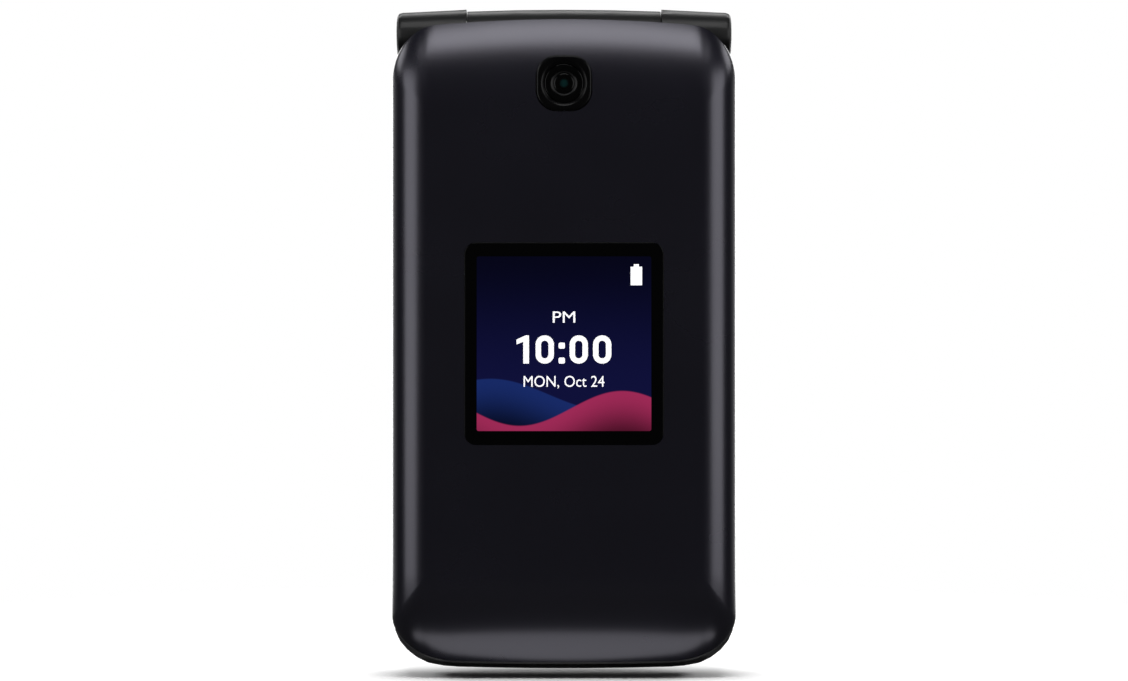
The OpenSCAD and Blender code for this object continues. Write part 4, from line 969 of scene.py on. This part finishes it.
class FLIPPHONE_OT_housings(bpy.types.Operator):
    """Makes the lid's inner housing, the base's two housings with broken edges, and the keypad plate's lip"""
    bl_idname = "flipphone.housings"
    bl_label = "Housings"
    bl_options = {"REGISTER", "UNDO"}

    BARREL_LOW = 46 * MM  # the hinge barrel's faces lie above this

    def execute(self, context):
        edge = context.scene.flip_phone_shapes.edge / MM

        # Painted shade: the barrel's round faces take the darker copy of the housing colour, while its
        # sideways ends keep the housing's own
        def barrel(face):
            return 1 if face.calc_center_median().z > self.BARREL_LOW and abs(face.normal.x) < 0.6 else 0

        satin = ["housing_satin", "barrel_black"]
        softened("lid_inner_housing", "lid_housing", "lid", satin, edge, choose=barrel)
        softened("base_front_housing", "keypad_plate", "base", ["housing_satin"], edge * 0.7)
        softened("base_rear_housing", "base_frame", "base", satin, edge, choose=barrel,
                 corner=1.0)
        lip = Shape()
        plate = drawn("base_front_housing")[0].y
        for side in (-1, 1):
            lip.loft([at_y(slab_loop(0.6 - 2 * inset, 76 - 2 * inset, 0.3 - inset, side * (HALF - 0.85),
                                     MIDDLE - 4.5, 5), plate - rise)
                      for inset, rise in ((0.0, -0.1), (0.0, 0.3), (0.08, 0.38))])
        lip.piece("keypad_lip", "base", ["housing_satin"])
        return {"FINISHED"}


class FLIPPHONE_OT_cover(bpy.types.Operator):
    """Makes the battery cover with its knurl, speaker holes, rest domes and nail tab"""
    bl_idname = "flipphone.cover"
    bl_label = "Battery cover"
    bl_options = {"REGISTER", "UNDO"}

    WALL = 1.1
    TOP = 101.4
    ROLL_START, ROLL_DEEP, ROLL_POWER = 17.0, 4.6, 2.1  # the lower end's roll, as far as the seam
    EDGE_DEEP = 5.6  # how deep that roll would be at the phone's lowest edge
    FLAT_TOP = 87.1
    HOLE_ROWS, HOLE_PITCH, HOLE_RADIUS = (2, 3, 4, 3, 4, 3, 2), 2.7, 0.42
    DOME_Z, DOME_INSET, DOME_HIGH, DOME_HALF = 90.5, 10.9, 0.5, 1.4

    def execute(self, context):
        shape = Shape()
        low = self.ROLL_START * (1 - (self.ROLL_DEEP / self.EDGE_DEEP) ** (1 / self.ROLL_POWER))
        shared = {"flat_x": HALF - 7.5, "flat_z": (self.ROLL_START, self.FLAT_TOP),
                  "powers": (self.ROLL_POWER, self.ROLL_POWER)}
        roll = Roll(HALF, low, self.TOP, lo=(10, 6.6, 0.9), hi=(6.5, 6.5, 0.5),
                    deep=(4.6, self.ROLL_DEEP, 3.2), **shared)
        inner = Roll(HALF - self.WALL, low + self.WALL, self.TOP - self.WALL, lo=(8.9, 5.6, 0.9),
                     hi=(5.4, 5.4, 0.5), deep=(3.5, 3.5, 2.2), **shared)
        speaker = middle_of(drawn("loudspeaker"))
        holes = [circle(self.HOLE_RADIUS, 20, (j - (count - 1) / 2) * self.HOLE_PITCH,
                        speaker.z + (i - 3) * self.HOLE_PITCH / 2)
                 for i, count in enumerate(self.HOLE_ROWS) for j in range(count)]
        rim = roll.build(shape, THICK, -1, holes)
        seam = drawn("battery_cover")[0].y
        lip = at_y(rim, seam)
        shape.loft([lip, [(x, THICK - roll.depth((x, z)), z) for x, z in rim]], cap=OPEN)
        floor = THICK - self.WALL
        inside = inner.build(shape, floor, -1, holes, inner=True)
        edge = [(x, floor - inner.depth((x, z)), z) for x, z in inside]
        shape.loft([edge, at_y(inside, seam), lip], cap=OPEN)
        for hole in holes:
            shape.loft([inner.on_upper(hole, floor, -1), roll.on_upper(hole, THICK, -1)], cap=OPEN)
        for side in (-1, 1):
            self.dome(shape, roll, side * (HALF - self.DOME_INSET))
        block = slab_loop(8.1, 1.8, 0.3, 0, 101.1, arc=4)
        shape.loft([[(x * share, y, z) for x, z in block]
                    for share, y in ((0.985, 15.2), (1, 15.12), (1, 14.48), (0.985, 14.4))], 1)
        shape.piece("back_cover", "cover", ["cover_matte", "dome_black"], ("battery_cover",))
        return {"FINISHED"}

    def dome(self, shape, roll, x):
        """A rest dome: the cap of a ball on a foot that follows the cover"""
        z, base = self.DOME_Z, roll.on_upper([(x, self.DOME_Z)], THICK, -1)[0][1]
        ball = (self.DOME_HALF ** 2 + self.DOME_HIGH ** 2) / (2 * self.DOME_HIGH)
        loops = [roll.on_upper(circle(self.DOME_HALF + wider, 40, x, z), THICK + rise, -1)
                 for wider, rise in ((0.22, -0.12), (0.05, 0.03))]
        for t in np.linspace(math.asin(self.DOME_HALF / ball) * 0.94, 0.04, 9):
            rise = self.DOME_HIGH - ball * (1 - math.cos(t))
            loops.append(at_y(circle(ball * math.sin(t), 40, x, z), base + rise))
        shape.loft(loops[::-1], 1)


class FLIPPHONE_OT_outer_display(bpy.types.Operator):
    """Makes the outer window with its printed border, picture, clock, date and charge mark"""
    bl_idname = "flipphone.outer_display"
    bl_label = "Outer display"
    bl_options = {"REGISTER", "UNDO"}

    CHARGE_MARK = [(-0.9, -1.65), (0.9, -1.65), (0.9, 1.25), (0.4, 1.25), (0.4, 1.65), (-0.4, 1.65),
                   (-0.4, 1.25), (-0.9, 1.25)]
    CHARGE_PLACE = 11.27, 10.75

    def execute(self, context):
        c = middle_of(WINDOW)

        def border(inset):
            return slab_loop(31 - 2 * inset, 31.5 - 2 * inset, 1.8 - inset * 0.6, c.x, c.z, arc=8)

        shape = Shape()
        rims = ((0, WINDOW[1].y), (0, 0.05), (0.02, 0.01), (0.06, 0.0))
        shape.loft([at_y(border(inset), y) for inset, y in rims], cap=(True, False))
        screen(shape, WINDOW, border(0.06), OUTER_VIEW, 0.0, 0.0, 1,
               (("PM", 3.5, 1.75, 4.15), ("MON, Oct 24", 12.6, 2.0, -6.0)), (15.0, 4.4, -0.9))
        dx, dz = self.CHARGE_PLACE
        shape.add(*mark([(dx + x, c.z + dz + z) for x, z in self.CHARGE_MARK], 0.0, 2))
        shape.piece("outer_window", "lid", ["window_black", "outer_picture", "lit_white"],
                    ("outer_display_window",), sharp=50)
        return {"FINISHED"}


class FLIPPHONE_OT_camera(bpy.types.Operator):
    """Makes the camera's bezel and lens"""
    bl_idname = "flipphone.camera"
    bl_label = "Camera"
    bl_options = {"REGISTER", "UNDO"}

    SEAT = 1.05  # y of the ledge that the lens lies on

    def execute(self, context):
        c = middle_of(BEZEL)
        front, back, glass = BEZEL[0].y, BEZEL[1].y, LENS[0].y

        def square(inset, y):
            return at_y(rounded(8.7 - 2 * inset, 8.7 - 2 * inset, 3.2 - inset, ROUND, c.x, c.z), y)

        def round_at(rings):
            return [at_y(circle(r, ROUND, c.x, c.z), y) for r, y in rings]

        shape = Shape()
        loops = [square(inset, y) for inset, y in ((0, back), (0, front + 0.3), (0.05, front + 0.14),
                                                   (0.17, front + 0.03), (0.32, front))]
        loops += round_at(((3.62, front), (3.5, front + 0.03), (3.34, front + 0.12), (3.1, front + 0.3),
                           (3.1, self.SEAT), (2.4, self.SEAT), (2.4, back)))
        shape.loft([*loops, loops[0]], cap=OPEN)
        shape.piece("camera_ring", "lid", ["print_edge"], ("camera_bezel",), sharp=40)
        lens = Shape()
        rings = [(3.05, LENS[1].y), (3.05, glass + 0.1), (2.98, glass + 0.03), (2.88, glass), (1.85, glass),
                 (1.72, glass + 0.1), (1.5, glass + 0.1)]
        rings += [(1.5 * math.cos(t), glass + 0.1 - 0.09 * math.sin(t)) for t in np.linspace(0.15, 1.45, 8)]
        lens.loft(round_at(rings))
        lens.piece("camera_glass", "lid", ["lens_glass"], ("camera_lens",), sharp=45)
        return {"FINISHED"}


class FLIPPHONE_OT_keypad(bpy.types.Operator):
    """Makes the keys with crowned tops and raised generic legends"""
    bl_idname = "flipphone.keypad"
    bl_label = "Keypad"
    bl_options = {"REGISTER", "UNDO"}

    LEGENDS = {"1": "", "2": "abc", "3": "def", "4": "ghi", "5": "jkl", "6": "mno", "7": "pqrs", "8": "tuv",
               "9": "wxyz", "*": "", "0": "+", "#": ""}
    NAMES = {"*": "star", "#": "hash"}
    CORNER = 1.2

    def execute(self, context):
        shapes = context.scene.flip_phone_shapes
        crown, size = shapes.key_crown / MM, shapes.legend / MM

        def word(text, share, weight, dx=0.0):
            return lambda c, top: [(*lettering(text, size * share, c.x + dx, c.z, top, weight=weight), 1)]

        def number(first, second):
            if first == "*":
                return lambda c, top: [bar(c, top, 2.6, 0.42, turn=math.radians(t)) for t in (90, 30, -30)]
            large = word(first, 1.3, 0.04, -2.2 if second else 0.0)
            small = word(second, 0.7, 0.01, 2.6)
            return lambda c, top: large(c, top) + (small(c, top) if second else [])

        def handset(index):
            """A long bar with an ear at each end"""
            return lambda c, top: [bar(c, top, 5.2, 0.85, index),
                                   *(bar(c, top, 1.4, 1.5, index, dx, -0.5) for dx in (-2.1, 2.1))]

        def arrows(c, top):
            made = []
            for turn in range(4):
                co, si = math.cos(turn * math.pi / 2), math.sin(turn * math.pi / 2)
                out = 7.2 if turn % 2 == 0 else 7.7
                tip = ((x, z + out) for x, z in ((0.9, -0.45), (0, 0.6), (-0.9, -0.45)))
                made.append(mark([(c.x + x * co - z * si, c.z + x * si + z * co) for x, z in tip], top))
            return made

        for first, second in self.LEGENDS.items():
            key_cap("key_" + self.NAMES.get(first, first), self.CORNER, crown, number(first, second))
        key_cap("call_key", self.CORNER, crown, handset(2))
        key_cap("end_key", self.CORNER, crown, handset(3))
        key_cap("clear_key", self.CORNER, crown, word("C", 1.15, 0.03))
        for node in ("soft_key_left", "soft_key_right"):
            key_cap(node, 2.0, crown, lambda c, top: [bar(c, top, 3.6, 0.6)])
        key_cap("ok_key", 3.0, crown, word("OK", 0.95, 0.03), flange=0.0)
        key_cap("nav_ring", 6.0, crown, arrows, size=(20.5, 19.0), hole=(9.8, 9.3, 3.2))
        return {"FINISHED"}


class FLIPPHONE_OT_side_parts(bpy.types.Operator):
    """Makes the side keys with the rocker's marks, the ports, the hinge caps and the bumpers"""
    bl_idname = "flipphone.side_parts"
    bl_label = "Side parts"
    bl_options = {"REGISTER", "UNDO"}

    def execute(self, context):
        for node, name in (("side_key", "side_button"), ("volume_rocker", "volume_button")):
            softened(node, name, node, ["housing_satin"], 0.22, 3, corner=0.85, move=eased_key)
        c, face = middle_of(drawn("volume_rocker")), KEY_FACE / MM
        marks = Shape()
        for up in (1, -1):
            flat = [(c.y + y, c.z + up * z) for y, z in ((-0.55, 4.9), (0.55, 4.9), (0, 5.9))]
            marks.loft([[(x, y, z) for y, z in flat[::up]] for x in (face - 0.05, face)])
        # The marks take the lighter key finish, a painted highlight in place of the light on their raised
        # edges
        marks.piece("volume_marks", "volume_rocker", ["key_rubber"])
        for node, name, edge in (("hinge_end_cap", "hinge_cap", 0.14),
                                 ("strap_eyelet_cap", "strap_eyelet", 0.12)):
            softened(node, name, "base", ["housing_satin"], edge, move=drawn_in(node))
        softened("micro_usb_connector", "usb_port", "base", ["port_black", "steel"], 0.05,
                 choose=lambda face: 1 if 0.1 < abs(face.normal.x) < 0.95 else 0)
        softened("audio_jack", "jack_port", "base", ["port_black"], 0.08)
        softened("lid_bumpers", "bumpers", "lid", ["rubber"], 0.12)
        return {"FINISHED"}


class FLIPPHONE_OT_inner_display(bpy.types.Operator):
    """Makes the inner window with its sunk picture and clock"""
    bl_idname = "flipphone.inner_display"
    bl_label = "Inner display"
    bl_options = {"REGISTER", "UNDO"}

    SUNK = 0.25

    def execute(self, context):
        low, high = INNER_WINDOW
        c = middle_of(INNER_WINDOW)

        def border(inset):
            return slab_loop(high.x - low.x - 2 * inset, high.z - low.z - 2 * inset, 2 - inset, c.x, c.z,
                             arc=8)

        shape = Shape()
        shape.loft([at_y(border(inset), y) for inset, y in ((0.1, high.y), (0, high.y - 0.1), (0, low.y))],
                   cap=(False, True))
        screen(shape, INNER_WINDOW, border(0.1), INNER_VIEW, high.y, high.y - self.SUNK, -1,
               (("PM", 5.6, 2.8, -8.5), ("MON, Oct 24", 19.8, 3.2, 8.0)), (23.6, 6.9, -0.5))
        shape.piece("inner_window", "lid", ["window_black", "inner_picture", "lit_white"],
                    ("inner_display_window",), sharp=50)
        return {"FINISHED"}


class FLIPPHONE_OT_carried_parts(bpy.types.Operator):
    """Gives every node that stays as the frame made it the finish of its material"""
    bl_idname = "flipphone.carried_parts"
    bl_label = "Carried parts"
    bl_options = {"REGISTER", "UNDO"}

    FINISH_OF = {
        "display": ("outer_display_panel", "inner_display_panel"),
        "black_part": ("camera_module", "earpiece", "loudspeaker", "nav_gimbal"),
        "mesh": ("earpiece_mesh", "speaker_mesh"),
        "board": ("lid_circuit_board", "main_circuit_board"),
        "steel": ("lid_screws", "hinge_shaft", "hinge_cartridge", "hinge_pivot", "side_switches",
                  "vibration_motor", "sim_card_socket", "base_screws"),
        "flex": ("display_cable_lid", "display_cable_base"),
        "film": ("key_dome_sheet",),
        "gold": ("microphone", "antenna", "battery_contacts"),
        "battery": ("battery",),
    }

    def execute(self, context):
        for name, nodes in self.FINISH_OF.items():
            for node in nodes:
                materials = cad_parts[node].data.materials
                if not materials:
                    materials.append(None)
                for i in range(len(materials)):
                    materials[i] = finish(name)
        return {"FINISHED"}


class FLIPPHONE_OT_stage(bpy.types.Operator):
    """Sets the camera, the soft boxes, the pale floor and the white surround"""
    bl_idname = "flipphone.stage"
    bl_label = "Stage"
    bl_options = {"REGISTER", "UNDO"}

    # name: azimuth and elevation in degrees, width, height, gain, and whether it lights more than highlights
    SOFT_BOXES = {
        "left_front": (-42, 10, 0.44, 0.55, 1.0, False), "right_front": (42, 10, 0.44, 0.55, 1.0, False),
        "left_back": (-150, 10, 0.3, 0.5, 0.9, False), "right_back": (150, 10, 0.3, 0.5, 0.9, False),
        "above_front": (0, 55, 0.4, 0.24, 2.1, True), "above_back": (180, 57, 0.5, 0.24, 1.2, False),
        "above_left": (-90, 35, 0.4, 0.24, 1.2, True), "above_right": (90, 35, 0.4, 0.24, 1.2, True),
    }
    LAMP_AWAY = 0.75
    GLOW_SIZE, GLOW_AHEAD = (0.052, 0.008), 0.0015
    GLOW_SHARE = 0.6  # how far down the gap between phone and floor the strip lies
    FOOT_X, FOOT_Y = 0.029, 0.012  # half the width and depth of the painted shadow under the phone, where the floor's glow is left out
    WHITE = (1.0, 1.0, 1.0)

    def execute(self, context):
        values, scene = context.scene.flip_phone_stage, context.scene
        scene.view_settings.view_transform = "Standard"
        data = bpy.data.cameras.new("camera")
        data.lens = values.lens
        data.sensor_width = 36
        data.clip_start, data.clip_end = 0.01, 50
        camera = bpy.data.objects.new("camera", data)
        camera.location = (0, -THICK * MM - values.distance, 0)
        camera.rotation_euler = (math.radians(90), 0, 0)
        scene.collection.objects.link(camera)
        scene.camera = camera
        self.surround(values)
        self.floor(values)
        for name, (azimuth, elevation, w, h, gain, lights_all) in self.SOFT_BOXES.items():
            a, e = math.radians(azimuth), math.radians(elevation)
            away = Vector((math.sin(a) * math.cos(e), -math.cos(a) * math.cos(e), math.sin(e)))
            self.lamp(name, "RECTANGLE", w, h, gain * values.lamp, away * self.LAMP_AWAY,
                      (-away).to_track_quat("-Z", "Y").to_euler(), lights_all)
        # A strip under the front of the phone gives the lid's lower edge its highlight
        place = (0, -THICK * MM - self.GLOW_AHEAD, -MIDDLE * MM - values.drop * self.GLOW_SHARE)
        self.lamp("table_glow", "ELLIPSE", *self.GLOW_SIZE, values.glow, place, (math.pi, 0, 0), False)
        return {"FINISHED"}

    def lamp(self, name, outline, w, h, radiance, place, turn, lights_all):
        data = bpy.data.lights.new(name, "AREA")
        data.shape = outline
        data.size, data.size_y = w, h
        data.energy = radiance * math.pi * w * h
        lamp = bpy.data.objects.new(name, data)
        lamp.location = place
        lamp.rotation_euler = turn
        lamp.visible_camera = False
        lamp.visible_diffuse = lights_all
        bpy.context.scene.collection.objects.link(lamp)

    def rays(self, nodes):
        """Camera rays, and those that come by a mirror or through glass"""
        path = nodes.node("ShaderNodeLightPath")
        return path.out("Is Camera Ray"), path.out("Is Glossy Ray").most(path.out("Is Transmission Ray"))

    def surround(self, values):
        """White surround for the camera; reflections show its sweep behind the phone, and else a dim room"""
        world = bpy.data.worlds.new("surround")
        bpy.context.scene.world = world
        world.use_nodes = True
        sky = Nodes(world.node_tree)
        way = sky.node("ShaderNodeSeparateXYZ", inputs={0: sky.node("ShaderNodeTexCoord").out("Generated")})
        sweep = way.out(1).ease(-0.15, 0.6) * (1.0 - way.out(2).ease(0.15, 0.35))
        seen, mirrored = self.rays(sky)
        back = sky.tree.nodes["Background"]
        sky.feed(back.inputs["Strength"], seen.most(mirrored * sweep.most(values.room)).most(values.fill))
        sky.feed(back.inputs["Color"], self.WHITE)

    def floor(self, values):
        """Pale disc that fades into the white surround. Its glow is left out in an ellipse under the phone,
        which paints a shadow there.
        """
        bm = bmesh.new()
        bmesh.ops.create_circle(bm, cap_ends=True, segments=96, radius=values.floor)
        mesh = bpy.data.meshes.new("floor")
        bm.to_mesh(mesh)
        bm.free()
        floor = bpy.data.objects.new("floor", mesh)
        floor.location.z = -MIDDLE * MM - values.drop
        bpy.context.scene.collection.objects.link(floor)
        look = Look("floor")
        seen, mirrored = self.rays(look)
        # Painted shadow: the floor's own glow is left out over an ellipse under the phone and fades in around
        # it
        foot = from_axis(look.x / self.FOOT_X, (look.y + THICK * MM / 2) / self.FOOT_Y)
        own = foot.ease(0.7, 1.5) * seen.most(mirrored * 0.12)
        look.set(base_color=look.blend(seen, (0.16, 0.16, 0.16), (0.95, 0.95, 0.95)), roughness=1.0,
                 specular_ior_level=0.0, emission_strength=1.0,
                 emission_color=look.blend(own, (0.0, 0.0, 0.0), (values.lift, values.lift, values.lift)),
                 alpha=1.0 - from_axis(look.x, look.y).ease(values.floor * 0.45, values.floor))
        mesh.materials.append(look.material)


STEPS = (FLIPPHONE_OT_lid_shell, FLIPPHONE_OT_housings, FLIPPHONE_OT_cover, FLIPPHONE_OT_outer_display,
         FLIPPHONE_OT_camera, FLIPPHONE_OT_keypad, FLIPPHONE_OT_side_parts, FLIPPHONE_OT_inner_display,
         FLIPPHONE_OT_carried_parts, FLIPPHONE_OT_stage)


class FLIPPHONE_PT_panel(bpy.types.Panel):
    """Lists the phone's settings and operators"""
    bl_idname = "FLIPPHONE_PT_panel"
    bl_label = "Flip phone"
    bl_space_type = "VIEW_3D"
    bl_region_type = "UI"
    bl_category = "Flip phone"

    def draw(self, context):
        for name, kind in GROUPS.items():
            box = self.layout.box()
            for field in kind.__annotations__:
                box.prop(getattr(context.scene, name), field)
        for step in STEPS:
            self.layout.operator(step.bl_idname)


GROUPS = {"flip_phone_shapes": FLIPPHONE_PG_shapes, "flip_phone_colours": FLIPPHONE_PG_colours,
          "flip_phone_stage": FLIPPHONE_PG_stage}


def register():
    for name, group in GROUPS.items():
        bpy.utils.register_class(group)
        setattr(bpy.types.Scene, name, PointerProperty(type=group))
    for step in (*STEPS, FLIPPHONE_PT_panel):
        bpy.utils.register_class(step)


def unregister():
    for step in reversed((*STEPS, FLIPPHONE_PT_panel)):
        bpy.utils.unregister_class(step)
    for name, group in GROUPS.items():
        delattr(bpy.types.Scene, name)
        bpy.utils.unregister_class(group)


def main():
    register()
    for step in STEPS:
        group, name = step.bl_idname.split(".")
        getattr(getattr(bpy.ops, group), name)()


if __name__ == "__main__":
    main()
